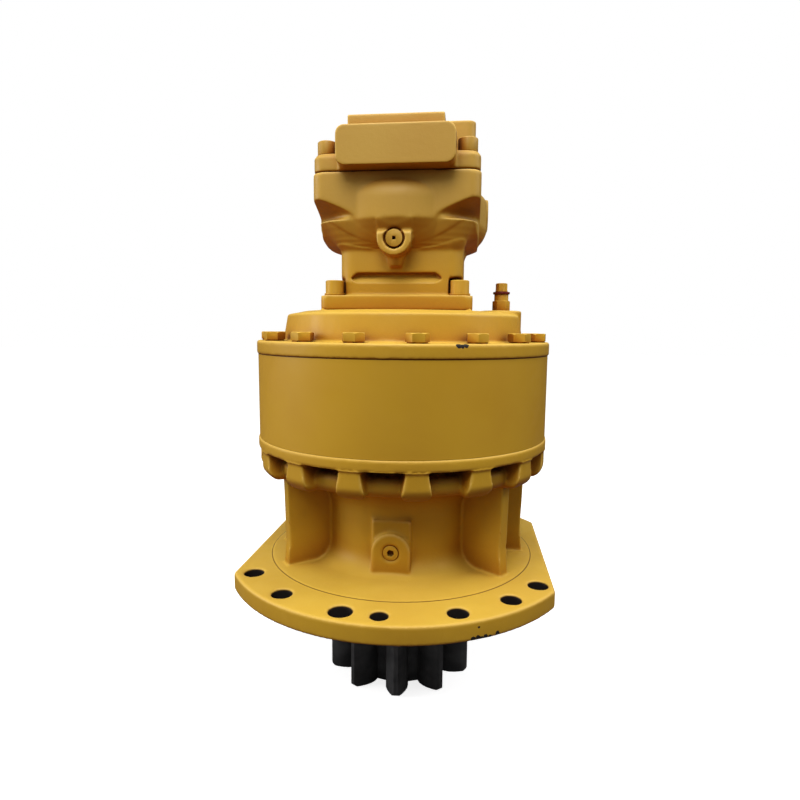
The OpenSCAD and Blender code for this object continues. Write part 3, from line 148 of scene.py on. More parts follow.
# Bare wall of a hole: how far past the hole's radius it fades out, and how far below the deck it fades in
WALL_FADE = (0.0008, 0.0014)
LIP_FADE = (0.0028, 0.0008)

RANGE_INPUTS = ("From Min", "From Max", "To Min", "To Max")


def linear(colour):
    """A colour written as 0 to 255 in sRGB, as linear RGBA."""
    parts = [c / 255 for c in colour]
    parts = [c / 12.92 if c < 0.04045 else ((c + 0.055) / 1.055) ** 2.4 for c in parts]
    return (*parts, 1.0)


def set_range(node, numbers):
    """Sets what a Map Range node maps from and to."""
    for key, number in zip(RANGE_INPUTS, numbers):
        node.inputs[key].default_value = number


class Shader:
    """A material under construction, with short ways to add its nodes."""

    def __init__(self, name):
        self.material = bpy.data.materials.new(name)
        self.material.use_nodes = True
        self.tree = self.material.node_tree
        self.surface = self.tree.nodes["Principled BSDF"]
        self.coordinates = self.add("ShaderNodeTexCoord")
        self.place = self.coordinates.outputs["Object"]

    def add(self, kind, **settings):
        """A new node with its settings."""
        node = self.tree.nodes.new(kind)
        for key, value in settings.items():
            setattr(node, key, value)
        return node

    def feed(self, socket, value):
        """Links another node's output to an input, or sets the input to a plain value."""
        if isinstance(value, bpy.types.NodeSocket):
            self.tree.links.new(value, socket)
        else:
            socket.default_value = value

    def math(self, operation, a, b=0.0, clamp=False):
        """What an operation makes of one or two numbers."""
        node = self.add("ShaderNodeMath", operation=operation, use_clamp=clamp)
        self.feed(node.inputs[0], a)
        self.feed(node.inputs[1], b)
        return node.outputs[0]

    def noise(self, scale, detail=2.0, rough=0.5, place=None):
        """Soft noise from 0 to 1 at the shaded point, or at another place."""
        node = self.add("ShaderNodeTexNoise")
        self.feed(node.inputs["Vector"], place or self.place)
        self.feed(node.inputs["Scale"], scale)
        self.feed(node.inputs["Detail"], detail)
        self.feed(node.inputs["Roughness"], rough)
        return node.outputs["Fac"]

    def stretched(self, x, y, z):
        """The shaded point with its axes scaled, which draws out a pattern along the small ones."""
        node = self.add("ShaderNodeMapping")
        self.feed(node.inputs["Vector"], self.place)
        node.inputs["Scale"].default_value = (x, y, z)
        return node.outputs["Vector"]

    def ramp(self, value, low, high, to_low=0.0, to_high=1.0):
        """Goes softly from to_low to to_high while value goes from low to high."""
        node = self.add("ShaderNodeMapRange", interpolation_type="SMOOTHSTEP")
        self.feed(node.inputs["Value"], value)
        set_range(node, (low, high, to_low, to_high))
        return node.outputs["Result"]

    def mix(self, share, a, b):
        """Colour a, turning into b as share goes from 0 to 1."""
        node = self.add("ShaderNodeMix", data_type="RGBA")
        self.feed(node.inputs["Factor"], share)
        self.feed(node.inputs["A"], a)
        self.feed(node.inputs["B"], b)
        return node.outputs["Result"]

    def bump(self, height, distance, strength, normal=None):
        """The direction of a surface with a relief on it, or on top of another relief."""
        node = self.add("ShaderNodeBump")
        self.feed(node.inputs["Height"], height)
        node.inputs["Distance"].default_value = distance
        node.inputs["Strength"].default_value = strength
        if normal is not None:
            self.feed(node.inputs["Normal"], normal)
        return node.outputs["Normal"]

    def crevice(self, distance):
        """1 in corners and joints, 0 on open faces."""
        node = self.add("ShaderNodeAmbientOcclusion", samples=8)
        node.inputs["Distance"].default_value = distance
        return self.math("SUBTRACT", 1.0, node.outputs["AO"], clamp=True)

    def axes(self):
        """The X, Y and Z of the shaded point."""
        split = self.add("ShaderNodeSeparateXYZ")
        self.feed(split.inputs[0], self.place)
        return split.outputs["X"], split.outputs["Y"], split.outputs["Z"]

    def flat(self, x, y):
        """A point on the plane z = 0."""
        node = self.add("ShaderNodeCombineXYZ")
        self.feed(node.inputs["X"], x)
        self.feed(node.inputs["Y"], y)
        return node.outputs[0]

    def distance(self, a, b=(0, 0, 0)):
        """How far a is from b."""
        node = self.add("ShaderNodeVectorMath", operation="DISTANCE")
        self.feed(node.inputs[0], a)
        node.inputs[1].default_value = b
        return node.outputs["Value"]

    def band(self, value, centre, half):
        """1 where value is within half of centre, fading out at the edge."""
        away = self.math("ABSOLUTE", self.math("SUBTRACT", value, centre))
        return self.ramp(away, half * 0.6, half * 1.4, 1.0, 0.0)

    def any_of(self, masks):
        """The highest of several masks."""
        found = masks[0]
        for mask in masks[1:]:
            found = self.math("MAXIMUM", found, mask)
        return found

    def chips(self):
        """1 inside ragged spots where the paint has broken off, 0 elsewhere."""
        grain = self.math("SUBTRACT", self.noise(CHIP_GRAIN, 3.0, 0.7), 0.5)
        ragged = self.math("MULTIPLY", grain, CHIP_RAGGED)
        away = [self.math("ADD", self.distance(self.place, point), ragged) for point, size in CHIPS]
        return self.any_of([self.math("LESS_THAN", a, size) for a, (point, size) in zip(away, CHIPS)])

    def hole_walls(self, x, y, z):
        """1 on the bare walls of the flange holes, a little below the painted lip."""
        folded = self.flat(x, self.math("MULTIPLY", self.math("ABSOLUTE", y), -1.0))
        inside = []
        for angle, radius in DECK_HOLES:
            centre = on_rim(angle, DECK_HOLE_CIRCLE, 0.0)
            place = self.flat(x, y) if angle == FRONT_HOLE_ANGLE else folded
            away = self.distance(place, centre)
            inside.append(self.ramp(away, radius + WALL_FADE[0], radius + WALL_FADE[1], 1.0, 0.0))
        below = self.ramp(z, DECK_TOP - LIP_FADE[0], DECK_TOP - LIP_FADE[1], 1.0, 0.0)
        return self.math("MULTIPLY", self.any_of(inside), below)

    def disc_line(self, x, y, z):
        """1 in the thin line round the low disc on the flange."""
        line = self.band(self.distance(self.flat(x, y)), DISC_R + DISC_SEAM / 2, DISC_SEAM)
        return self.math("MULTIPLY", line, self.band(z, DECK_TOP, DISC_SEAM_H))

    def set(self, **sockets):
        """Feeds the surface's inputs, which are named here in small letters, and gives the material."""
        for key, value in sockets.items():
            self.feed(self.surface.inputs[key.replace("_", " ").title().replace("Ior", "IOR")], value)
        return self.material


def on_rim(angle, radius, z):
    """A point at an angle from the front towards the right."""
    a = math.radians(angle)
    return (radius * math.sin(a), -radius * math.cos(a), z)


# Spots where the paint has broken off: angle from the front, height on the edge, and size. Their outline
# is ragged by noise of this scale and depth.
CHIP_GRAIN = 650.0
CHIP_RAGGED = 0.0042
FLANGE_CHIPS = [
    (25.6, 0.0026, 0.0030), (26.9, 0.0035, 0.0026), (28.0, 0.0018, 0.0026), (29.2, 0.0022, 0.0032),
    (30.6, 0.0014, 0.0024), (32.9, 0.0030, 0.0028), (27.1, 0.0153, 0.0015),
]
COVER_CHIPS = [(24.0, 0.0155, 0.0032), (25.3, 0.0148, 0.0028), (26.5, 0.0158, 0.0030)]
CHIPS = [(on_rim(angle, FLANGE_R, height), size) for angle, height, size in FLANGE_CHIPS]
CHIPS += [(on_rim(angle, JOINT_R, COVER_Z + height), size) for angle, height, size in COVER_CHIPS]


def paint(name, grain, peel, edges=0.0):
    """Satin machine paint, with painted light on faces that look up and painted shade on faces that look
    down and in hollows. grain is the depth of the cast skin under it, peel that of the paint film, and edges
    is how much paler the paint is in a painted highlight on outer edges that look up."""
    s = Shader(name)
    x, y, z = s.axes()
    facing = s.add("ShaderNodeSeparateXYZ")
    s.feed(facing.inputs[0], s.coordinates.outputs["Normal"])
    up = facing.outputs["Z"]
    # Painted shade on faces that look down, and painted light, a little patchy, on faces that look up
    colour = s.mix(s.ramp(up, -0.8, 0.1), linear(PAINT_UNDER_SHADE), linear(PAINT_SIDE))
    top_light = s.math("MULTIPLY", s.ramp(up, 0.2, 0.95), s.ramp(s.noise(22.0, 3.0), 0.2, 0.7, 0.75, 1.0))
    colour = s.mix(top_light, colour, linear(PAINT_TOP_LIGHT))
    # The motor's own paint, kept off faces that look down so that they keep their painted shade
    motor = s.ramp(z, SEAT_Z + MOTOR_PAINT_START, SEAT_Z + MOTOR_PAINT_FULL, 0.0, 0.85)
    motor = s.math("MULTIPLY", motor, s.ramp(up, -0.7, 0.1))
    colour = s.mix(motor, colour, linear(PAINT_MOTOR))
    cloud = s.ramp(s.noise(9.0, 3.0), 0.3, 0.7, 0.0, 0.14)
    colour = s.mix(cloud, colour, linear(PAINT_UNDER_SHADE))
    # Painted highlight on outer edges that look up
    if edges:
        edge = s.ramp(s.add("ShaderNodeNewGeometry").outputs["Pointiness"], 0.505, 0.56, 0.0, edges)
        edge = s.math("MULTIPLY", edge, s.ramp(up, -0.3, 0.2))
        colour = s.mix(edge, colour, linear(PAINT_EDGE_HIGHLIGHT))
    # Painted shade in hollows and under overhangs, deepest in the deepest ones
    hidden = s.crevice(PAINT_HOLLOW)
    shade = s.math("MULTIPLY", s.ramp(hidden, 0.15, 0.62, 0.0, 0.9), s.ramp(up, 0.2, 0.9, 1.0, 0.35))
    colour = s.mix(shade, colour, linear(PAINT_UNDER_SHADE))
    hollow_shade = s.math("MULTIPLY", s.ramp(hidden, 0.42, 0.85), s.ramp(s.noise(90.0, 3.0), 0.25, 0.7, 0.65, 1.0))
    colour = s.mix(hollow_shade, colour, linear(DARK_SEAM_AND_SHADE))
    seams = s.any_of([s.band(z, COVER_Z, COVER_SEAM), s.band(z, SPLIT_Z, SPLIT_SEAM), s.disc_line(x, y, z)])
    colour = s.mix(s.math("MULTIPLY", seams, 0.85), colour, linear(DARK_SEAM_AND_SHADE))
    # Bare steel walls of the flange holes, painted near-black with the shade inside them
    colour = s.mix(s.hole_walls(x, y, z), colour, linear(BARE_STEEL_IN_SHADE))
    colour = s.mix(s.chips(), colour, linear(PRIMER))
    skin = s.bump(s.noise(900.0, 3.0, 0.6), grain, 0.6)
    lumps = s.bump(s.noise(160.0, 2.0), grain * 2.5, 0.5, skin)
    film = s.bump(s.noise(420.0, 1.0), peel, 0.5, lumps)
    rough = s.ramp(s.noise(35.0, 4.0), 0.3, 0.7, 0.42, 0.56)
    rough = s.math("ADD", rough, s.math("MULTIPLY", hollow_shade, 0.3))
    return s.set(base_color=colour, roughness=rough, normal=film, specular_ior_level=0.25)


def steel(name, colour, rough, streak=(1.0, 1.0, 1.0), marks=0.00002, metal=1.0, tint=None):
    """Machined or ground metal whose tool marks run across the stretched axis."""
    s = Shader(name)
    lines = s.noise(900.0, 2.0, 0.5, s.stretched(*streak))
    cloud = s.ramp(s.noise(40.0, 4.0), 0.3, 0.75)
    dark = linear([c * 0.72 for c in colour])
    base = s.mix(cloud, dark, linear(colour))
    if tint:
        base = s.mix(s.ramp(s.noise(18.0, 3.0), 0.45, 0.8, 0.0, 0.55), base, linear(tint))
    # Darker in hollows
    hollow_darkening = s.ramp(s.crevice(STEEL_HOLLOW), 0.3, 0.9, 0.0, 0.7)
    base = s.mix(hollow_darkening, base, linear(STEEL_HOLLOW_TONE))
    shine = s.ramp(lines, 0.3, 0.7, rough * 0.8, rough * 1.25)
    normal = s.bump(lines, marks, 0.6)
    return s.set(base_color=base, metallic=metal, roughness=shine, normal=normal)


def rubber(name):
    """Dull black rubber of a seal."""
    s = Shader(name)
    base = s.mix(s.ramp(s.noise(120.0, 4.0), 0.3, 0.75), linear(RUBBER_DARK), linear(RUBBER_PALE))
    normal = s.bump(s.noise(1500.0, 2.0), 0.00004, 0.5)
    return s.set(base_color=base, roughness=0.62, normal=normal)


def lining(name):
    """Sintered friction lining with fibres in it."""
    s = Shader(name)
    fibres = s.noise(500.0, 5.0, 0.7, s.stretched(1.0, 0.25, 1.0))
    base = s.mix(s.ramp(fibres, 0.35, 0.65), linear(LINING_DARK), linear(LINING_PALE))
    normal = s.bump(fibres, 0.0001, 0.6)
    return s.set(base_color=base, roughness=0.85, normal=normal)


MATERIALS = {
    "cast_paint": paint("cast_paint", 0.00016, 0.00003, 0.7),
    "ring_paint": paint("ring_paint", 0.00003, 0.00004),
    "fastener_paint": paint("fastener_paint", 0.00002, 0.00006),
    "red_washer": steel("red_washer", (122, 30, 22), 0.45, metal=0.4),
    "plug_steel": steel("plug_steel", (104, 96, 84), 0.38),
    "cover_steel": steel("cover_steel", (64, 62, 60), 0.5, metal=0.8),
    "seal_rubber": rubber("seal_rubber"),
    "pinion_steel": steel("pinion_steel", (92, 91, 92), 0.42, (1.0, 1.0, 0.06), 0.00003, 0.2),
    "bearing_steel": steel("bearing_steel", (196, 198, 202), 0.2, (0.1, 0.1, 1.0)),
    "gear_steel": steel("gear_steel", (150, 151, 154), 0.3, (1.0, 1.0, 0.08), tint=(120, 104, 84)),
    "carrier_iron": steel("carrier_iron", (96, 94, 92), 0.55, marks=0.00008, metal=0.7),
    "bronze": steel("bronze", (178, 128, 66), 0.32, (0.1, 0.1, 1.0), tint=(120, 82, 40)),
    "motor_steel": steel("motor_steel", (168, 170, 174), 0.26, (0.15, 0.15, 1.0), tint=(150, 136, 112)),
    "spring_steel": steel("spring_steel", (70, 74, 84), 0.34, tint=(60, 70, 110)),
    "friction_lining": lining("friction_lining"),
}
SLOT_OF = {row["node"]: row["material_slot"] for row in frame["record"]["subparts"]}


def dress(piece, slot):
    """Gives a piece the material of its slot."""
    piece.data.materials.clear()
    piece.data.materials.append(MATERIALS[slot])


for name, part in frame["nodes"].items():
    dress(part, SLOT_OF[name])


# How castings are smoothed, and which edges of machined pieces are broken
SMOOTHING = 0.5
SMOOTHING_ROUNDS = 5
MERGE_DISTANCE = 0.00001
FLAT_ANGLE = math.radians(1.0)
SHARP_ANGLE = math.radians(35)
BEVEL_SEGMENTS = 2


def baked(piece):
    """Puts what the modifiers make into the piece's own mesh."""
    bpy.context.view_layer.update()
    graph = bpy.context.evaluated_depsgraph_get()
    mesh = bpy.data.meshes.new_from_object(piece.evaluated_get(graph))
    piece.modifiers.clear()
    piece.data = mesh


def stand_in(name, suffix):
    """A copy of a CAD node, to be shaped and then settled."""
    source = frame["nodes"][name]
    piece = bpy.data.objects.new(name + suffix, source.data.copy())
    bpy.context.scene.collection.objects.link(piece)
    return piece


def settle(piece, name):
    """Gives a stand-in its body and its finish, and hides the node that it stands for."""
    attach(piece, frame["nodes"][name]["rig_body"])
    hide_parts(name)
    dress(piece, SLOT_OF[name])


def casting(name, voxel, most_faces, shaped):
    """A cast piece with rounded edges and filled corners, from its CAD solid. shaped gives each of its
    points a new place."""
    piece = stand_in(name, "_cast")
    remesh = piece.modifiers.new("Remesh", "REMESH")
    remesh.mode = "VOXEL"
    remesh.voxel_size = voxel
    remesh.use_smooth_shade = True
    baked(piece)
    for vertex in piece.data.vertices:
        vertex.co = shaped(vertex.co)
    smooth = piece.modifiers.new("Smooth", "SMOOTH")
    smooth.factor = SMOOTHING
    smooth.iterations = SMOOTHING_ROUNDS
    baked(piece)
    count = len(piece.data.polygons) * 2
    if count > most_faces:
        thin = piece.modifiers.new("Thin", "DECIMATE")
        thin.ratio = most_faces / count
        baked(piece)
    settle(piece, name)


def machined(name, width):
    """A machined piece with its edges broken, from its CAD solid."""
    piece = stand_in(name, "_finished")
    work = bmesh.new()
    work.from_mesh(piece.data)
    bmesh.ops.remove_doubles(work, verts=work.verts, dist=MERGE_DISTANCE)
    bmesh.ops.dissolve_limit(work, angle_limit=FLAT_ANGLE, verts=work.verts, edges=work.edges)
    work.to_mesh(piece.data)
    work.free()
    piece.data.polygons.foreach_set("use_smooth", [True] * len(piece.data.polygons))
    bevel = piece.modifiers.new("Bevel", "BEVEL")
    bevel.width = width
    bevel.segments = BEVEL_SEGMENTS
    bevel.limit_method = "ANGLE"
    bevel.angle_limit = SHARP_ANGLE
    bevel.harden_normals = True
    baked(piece)
    settle(piece, name)


def reach(angle, half_x, half_y, power):
    """Distance from the centre of a rounded rectangle to its edge."""
    across = (abs(math.cos(angle)) / half_x) ** power
    along = (abs(math.sin(angle)) / half_y) ** power
    return (across + along) ** (-1 / power)


def smooth_step(value, low, high):
    """Goes softly from 0 to 1 while value goes from low to high."""
    share = min(1.0, max(0.0, (value - low) / (high - low)))
    return share * share * (3 - 2 * share)


# Bowl of the motor casing below its ridge. An arc is its radius, and how far its centre lies inwards
# from the edge and up from the ridge.
BOWL_H = 0.035
BOWL_LIFT = 0.16
BODY_ARC = (0.045, 0.0444, 0.0073)
LEDGE_ARC = (0.055, 0.0516, 0.019)
NECK_SQUARENESS = 9
LEDGE_SQUARENESS = 6
SWEEP_POWER = 0.8
FRONT_START = 0.45
FRONT_FULL = 0.75
PLUG_Z = SEAT_Z + 0.082
PLUG_HOLE_R = 0.0152
PLUG_BOSS_HALF = 0.0235
PLUG_BOSS_TOP = PLUG_Z + 0.009
SIDE_BOSS_X = 0.05
PROUD = 0.0015
SKIN_OUT = 0.0008
SKIN_DEPTH = 0.005


def arc_reach(edge, arc, depth):
    """Distance from the axis to an arc that drops from an edge, at a depth below the ridge."""
    radius, inwards, up = arc
    return edge - inwards + math.sqrt(radius ** 2 - (depth + up) ** 2)


def bowl(x, y, z):
    """Runs the front of the bowl below the ridge of the motor casing straight into the square neck,
    and draws up the rest of it."""
    angle = math.atan2(y, x)
    radius = math.hypot(x, y)
    depth = RIDGE_Z - z
    in_plug_hole = math.hypot(x, z - PLUG_Z) < PLUG_HOLE_R and z < PLUG_BOSS_TOP
    if not 0 < depth < BOWL_H or in_plug_hole:
        return x, y, z
    neck = reach(angle, NECK_HALF_X + math.copysign(NECK_OFFSET, x), NECK_HALF_Y, NECK_SQUARENESS)
    square = reach(angle, LEDGE_HALF, LEDGE_HALF, LEDGE_SQUARENESS)
    body = arc_reach(BODY_R, BODY_ARC, depth)
    ledge = arc_reach(LEDGE_R, LEDGE_ARC, depth)
    solid = max(neck, body, min(ledge, square))
    excess = radius - solid
    if excess < -SKIN_DEPTH:
        return x, y, z
    ridge = min(LEDGE_R, max(BODY_R, square))
    straight = neck + (ridge - neck) * (1 - depth / BOWL_H) ** SWEEP_POWER
    front = smooth_step(-math.sin(angle), FRONT_START, FRONT_FULL)
    new = solid + (straight - solid) * front
    on_front_boss = abs(x) < PLUG_BOSS_HALF and z < PLUG_BOSS_TOP
    on_side_boss = x > SIDE_BOSS_X and abs(y) < SIDE_BOSS_HALF
    if excess > PROUD and (on_front_boss or on_side_boss):
        new = max(radius, new)
    else:
        new += min(SKIN_OUT, max(-PROUD, excess))
        z += depth * BOWL_LIFT * (1 - front)
    return x * new / radius, y * new / radius, z


# Undersides of the corner bosses: how far out they go, and how they rise from the body to the corner
# on the solid and on the skin
CORNER_REACH = 0.1395
CORNER_START = 0.001
CORNER_RISE = 0.033
CORNER_RISE_WANTED = 0.024
CORNER_POWER = 0.55
BODY_MARGIN = 0.0005


def corners(x, y, z):
    """Rounds the undersides of the head's corner bosses."""
    radius = math.hypot(x, y)
    on_side_boss = x > 0 and abs(y) < SIDE_BOSS_HALF
    if radius < BODY_R + BODY_MARGIN or on_side_boss or not RIDGE_Z < z < SPLIT_Z:
        return x, y, z
    share = min(1.0, (radius - BODY_R) / (CORNER_REACH - BODY_R))
    solid = RIDGE_Z + CORNER_START + CORNER_RISE * share
    wanted = RIDGE_Z + CORNER_RISE_WANTED * share ** CORNER_POWER
    if z < solid:
        return x, y, RIDGE_Z + (z - RIDGE_Z) * (wanted - RIDGE_Z) / (solid - RIDGE_Z)
    return x, y, wanted + (z - solid) * (SPLIT_Z - wanted) / (SPLIT_Z - solid)


# Shoulder of the round body: where it starts below the split, its height on the solid and on the skin,
# and the width and height of its curve
SHOULDER_START = SPLIT_Z - 0.032
SHOULDER_H = 0.0195
SHOULDER_H_WANTED = 0.0275
SHOULDER_CURVE = (0.028, 0.0285)
FACE_MARGIN = 0.0008
FACE_SKIN = 0.0002


def shoulder(x, y, z):
    """Gives the round body a broad soft shoulder below the box on the front, and the like at the back."""
    start = SHOULDER_START
    old_top = start + SHOULDER_H
    new_top = start + SHOULDER_H_WANTED
    curve_in, curve_up = SHOULDER_CURVE
    radius = math.hypot(x, y)
    if abs(y) < HEAD_HALF - FACE_MARGIN or radius > BODY_R + FACE_MARGIN or not start < z < SPLIT_Z:
        return x, y, z
    if z < old_top:
        z = start + (z - start) * (new_top - start) / (old_top - start)
    else:
        z = SPLIT_Z - (SPLIT_Z - z) * (SPLIT_Z - new_top) / (SPLIT_Z - old_top)
    most = BODY_R - curve_in + curve_in * math.sqrt(max(0.0, 1 - ((z - start) / curve_up) ** 2))
    flat = (HEAD_HALF - FACE_SKIN) * radius / abs(y)
    new = max(min(radius, most), flat)
    return x * new / radius, y * new / radius, z


# Slot in the neck: its lower edge, half its width, and how deep and how high its floor is drawn out
SLOT_FOOT = SEAT_Z + BASE_T + 0.015
SLOT_HALF = 0.059
SLOT_DEPTH = 0.0088
SLOT_H = 0.014
SLOT_RUN_OUT = 0.011
SLOT_MARGIN = 0.001


def slot(x, y, z):
    """Runs the floor of the slot in the neck out to nothing at its lower edge."""
    low = SLOT_FOOT - SLOT_MARGIN
    depth = y + NECK_HALF_Y
    if 0 < depth < SLOT_DEPTH and low < z < SLOT_FOOT + SLOT_H and abs(x) < SLOT_HALF:
        y = -NECK_HALF_Y + depth * smooth_step(z, low, SLOT_FOOT + SLOT_RUN_OUT)
    return x, y, z


# How far the underside of the motor's base flange comes down outside its bore, with the cover below it
BASE_DROP = 0.0035
BASE_BORE_R = 0.08
BASE_MARGIN = 0.001


def motor_form(point):
    """The motor casing with its bowl, corners, shoulder and slot shaped, and a thicker base flange."""
    x, y, z = slot(*shoulder(*corners(*bowl(*point))))
    if SEAT_Z - BASE_MARGIN < z < SEAT_Z + BASE_T and math.hypot(x, y) > BASE_BORE_R:
        z -= BASE_DROP * (1 - (z - SEAT_Z) / BASE_T)
    return x, y, z


# Raised middle of the cover: its radius, its height, and the width over which the lowering fades out.
# The breather's pad and the motor's seat on it stay as they are.
COVER_RAISED_R = 0.165
COVER_RAISED_H = 0.04
COVER_FADE = 0.03
BREATHER_PAD_R = 0.03
SEAT_MARGIN = 0.0015


def cover_form(point):
    """Lowers the top of the cover round the foot of the motor."""
    x, y, z = point
    radius = math.hypot(x, y)
    middle = (BREATHER[0] + BREATHER[1]) / 2
    on_pad = math.hypot(x - middle.x, y - middle.y) < BREATHER_PAD_R
    inside = max(abs(x), abs(y)) < BASE_HALF - SEAT_MARGIN
    if z > COVER_Z + COVER_RAISED_H and radius < COVER_RAISED_R and not inside and not on_pad:
        z -= BASE_DROP * (1 - smooth_step(radius, COVER_RAISED_R - COVER_FADE, COVER_RAISED_R))
    return x, y, z


# Bolt bosses under the upper flange of the lower housing, and how far they come out
BOSS_TOP = JOINT_Z - 0.014
BOSS_FULL = BOSS_TOP - 0.02
BOSS_FOOT = BOSS_TOP - 0.037
BOSS_INNER_R = 0.176
BOSS_OUTER_R = 0.19
BOSS_OUT = 0.0035


def housing_form(point):
    """Brings the bolt bosses of the lower housing out to its upper flange."""
    x, y, z = point
    radius = math.hypot(x, y)
    if radius < BOSS_INNER_R or not BOSS_FOOT < z < BOSS_TOP:
        return x, y, z
    outwards = BOSS_OUT * smooth_step(radius, BOSS_INNER_R, BOSS_OUTER_R)
    new = radius + outwards * smooth_step(z, BOSS_FOOT, BOSS_FULL)
    return x * new / radius, y * new / radius, z


# Valve tower: its left and front limits, between which x its right side moves, and between which heights
# above the split its side and its top move
TOWER_LEFT = 0.051
TOWER_FRONT = -0.012
TOWER_SIDE = (0.078, 0.095)
TOWER_SIDE_H = (0.024, 0.03)
TOWER_TOP_H = (0.07, 0.09)
TOWER_IN = 0.0075
TOWER_DOWN = 0.0025


def head_form(point):
    """Draws in the right side and the top of the valve tower."""
    x, y, z = point
    side_low, side_high = TOWER_SIDE_H
    top_low, top_high = TOWER_TOP_H
    share = smooth_step(z, SPLIT_Z + side_low, SPLIT_Z + side_high)
    if x > TOWER_LEFT and y > TOWER_FRONT:
        x -= TOWER_IN * share * smooth_step(x, *TOWER_SIDE)
        z -= TOWER_DOWN * smooth_step(z, SPLIT_Z + top_low, SPLIT_Z + top_high)
    return x, y, z


# Castings: node, side of a voxel, most triangles, and what shapes the skin
CASTINGS = [
    ("lower_housing", 0.0018, 190000, housing_form),
    ("top_cover", 0.0018, 120000, cover_form),
    ("motor_casing", 0.0018, 150000, motor_form),
    ("head_casing", 0.0016, 120000, head_form),
]
for casting_row in CASTINGS:
    casting(*casting_row)

# Width of the broken edges on each machined piece
FINISHED = {
    "ring_bolts": 0.0007, "base_screws": 0.0008, "head_screws": 0.0008, "breather_body": 0.0006,
    "breather_cap": 0.0006, "breather_washer": 0.0004, "gearbox_plug": 0.0005, "casing_plug": 0.0006,
    "side_plug": 0.0005, "makeup_plugs": 0.0006, "relief_valves": 0.0006, "pinion_shaft": 0.0012,
    "bearing_cover": 0.0008, "cover_screws": 0.0005,
}
for name, width in FINISHED.items():
    machined(name, width)


def set_camera():
    """The camera that the photograph was taken from."""
    azimuth = math.radians(CAMERA_AZIMUTH)
    place = Vector((math.sin(azimuth), -math.cos(azimuth), 0)) * CAMERA_DISTANCE
    place.z = CAMERA_HEIGHT
    inwards = Vector((-math.sin(azimuth), math.cos(azimuth), 0))
    level = Matrix.Rotation(math.radians(CAMERA_YAW), 3, "Z") @ inwards
    pitch = math.radians(CAMERA_PITCH)
    forward = level * math.cos(pitch) - Vector((0, 0, math.sin(pitch)))
    right = forward.cross(Vector((0, 0, 1))).normalized()
    up = right.cross(forward)
    roll = math.radians(CAMERA_ROLL)
    across = right * math.cos(roll) + up * math.sin(roll)
    upright = up * math.cos(roll) - right * math.sin(roll)
    data = bpy.data.cameras.new("camera")
    data.sensor_fit = "HORIZONTAL"
    data.sensor_width = SENSOR_WIDTH
    data.lens = FOCAL_PIXELS / FRAME_PIXELS * SENSOR_WIDTH
    data.clip_start, data.clip_end = CAMERA_CLIP
    camera = bpy.data.objects.new("camera", data)
    turned = Matrix((across, upright, -forward)).transposed().to_4x4()
    camera.matrix_world = Matrix.Translation(place) @ turned
    bpy.context.scene.collection.objects.link(camera)
    bpy.context.scene.camera = camera


# Floor: half its width, its gap under the pinion, and its colour as it is seen and as it lights
FLOOR_HALF = 12
FLOOR_GAP = 0.0002
FLOOR_SEEN = (0.8, 0.8, 0.8, 1)
FLOOR_LIGHTING = (0.1, 0.1, 0.1, 1)


def add_floor():
    """A plain white floor that gives little light back to the undersides."""
    work = bmesh.new()
    bmesh.ops.create_grid(work, x_segments=2, y_segments=2, size=FLOOR_HALF)
    mesh = bpy.data.meshes.new("floor")
    work.to_mesh(mesh)
    work.free()
    floor = bpy.data.objects.new("floor", mesh)
    floor.location.z = FLOOR_Z - FLOOR_GAP
    bpy.context.scene.collection.objects.link(floor)
    s = Shader("floor_white")
    path = s.add("ShaderNodeLightPath")
    seen = s.math("MAXIMUM", path.outputs["Is Camera Ray"], path.outputs["Is Transmission Ray"])
    grain = s.ramp(s.noise(3.0, 2.0), 0.2, 0.8, 0.0, 0.02)
    colour = s.mix(seen, FLOOR_LIGHTING, FLOOR_SEEN)
    s.set(base_color=colour, roughness=s.math("SUBTRACT", 0.95, grain))
    s.feed(s.surface.inputs["Emission Color"], (1, 1, 1, 1))
    s.feed(s.surface.inputs["Emission Strength"], s.math("MULTIPLY", seen, 0.8))
    floor.data.materials.append(s.material)


# Strength of the surround, from just below the horizon to nearly overhead
SURROUND = (-0.1, 0.9, 0.05, 0.42)


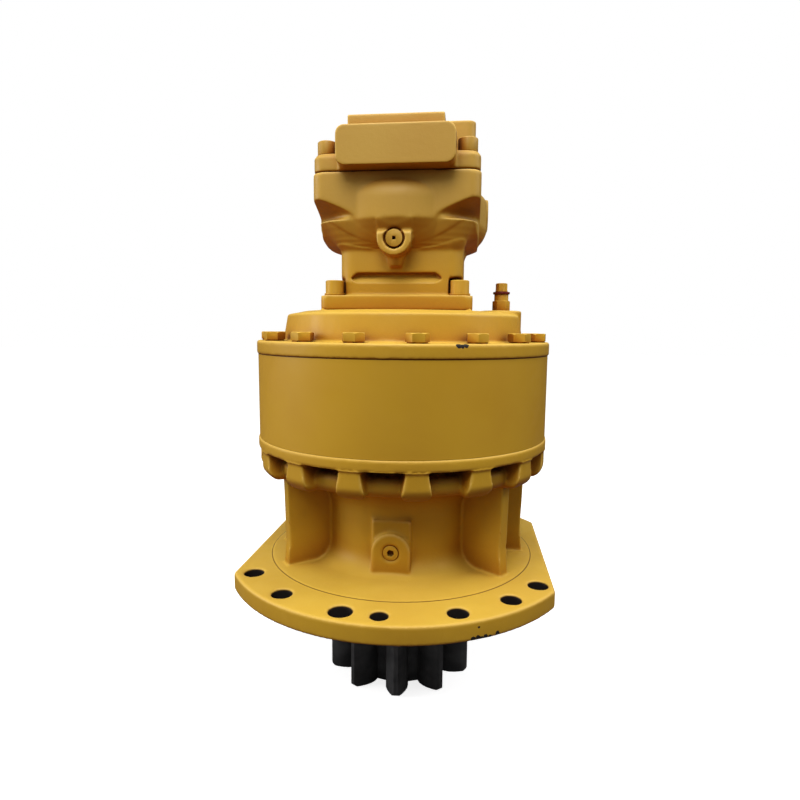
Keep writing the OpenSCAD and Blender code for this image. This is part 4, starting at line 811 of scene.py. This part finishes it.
def add_world():
    """A white surround that lights from above more than from below."""
    world = bpy.data.worlds.new("studio")
    bpy.context.scene.world = world
    world.use_nodes = True
    tree = world.node_tree
    tree.nodes.clear()
    place = tree.nodes.new("ShaderNodeTexCoord")
    split = tree.nodes.new("ShaderNodeSeparateXYZ")
    tree.links.new(place.outputs["Generated"], split.inputs[0])
    fade = tree.nodes.new("ShaderNodeMapRange")
    set_range(fade, SURROUND)
    tree.links.new(split.outputs["Z"], fade.inputs["Value"])
    light = tree.nodes.new("ShaderNodeBackground")
    tree.links.new(fade.outputs["Result"], light.inputs["Strength"])
    white = tree.nodes.new("ShaderNodeBackground")
    path = tree.nodes.new("ShaderNodeLightPath")
    seen = tree.nodes.new("ShaderNodeMath")
    seen.operation = "MAXIMUM"
    tree.links.new(path.outputs["Is Camera Ray"], seen.inputs[0])
    tree.links.new(path.outputs["Is Transmission Ray"], seen.inputs[1])
    choose = tree.nodes.new("ShaderNodeMixShader")
    tree.links.new(seen.outputs[0], choose.inputs[0])
    tree.links.new(light.outputs[0], choose.inputs[1])
    tree.links.new(white.outputs[0], choose.inputs[2])
    out = tree.nodes.new("ShaderNodeOutputWorld")
    tree.links.new(choose.outputs[0], out.inputs[0])
    white.inputs["Color"].default_value = (1, 1, 1, 1)
    light.inputs["Color"].default_value = (1, 1, 1, 1)


# Lamps: name, place, height on the axis that each one points at, width, and power in watts
LAMPS = [
    ("front", (-0.2, -1.2, 1.75), 0.3, 1.2, 23),
    ("top", (0.3, -0.2, 2.1), 0.3, 1.6, 17),
    ("left", (-1.9, -0.4, 0.75), 0.25, 0.9, 16),
    ("right", (1.75, -0.1, 1.4), 0.2, 0.9, 12),
]


def add_lamp(name, place, target_z, size, power):
    """A round soft lamp that points at the object's axis."""
    data = bpy.data.lights.new(name, "AREA")
    data.shape = "DISK"
    data.size = size
    data.energy = power
    lamp = bpy.data.objects.new(name, data)
    lamp.location = place
    aim = Vector((0, 0, target_z)) - Vector(place)
    lamp.rotation_euler = aim.to_track_quat("-Z", "Y").to_euler()
    bpy.context.scene.collection.objects.link(lamp)


set_camera()
add_floor()
add_world()
for lamp_row in LAMPS:
    add_lamp(*lamp_row)

bpy.context.scene.view_settings.view_transform = "Standard"
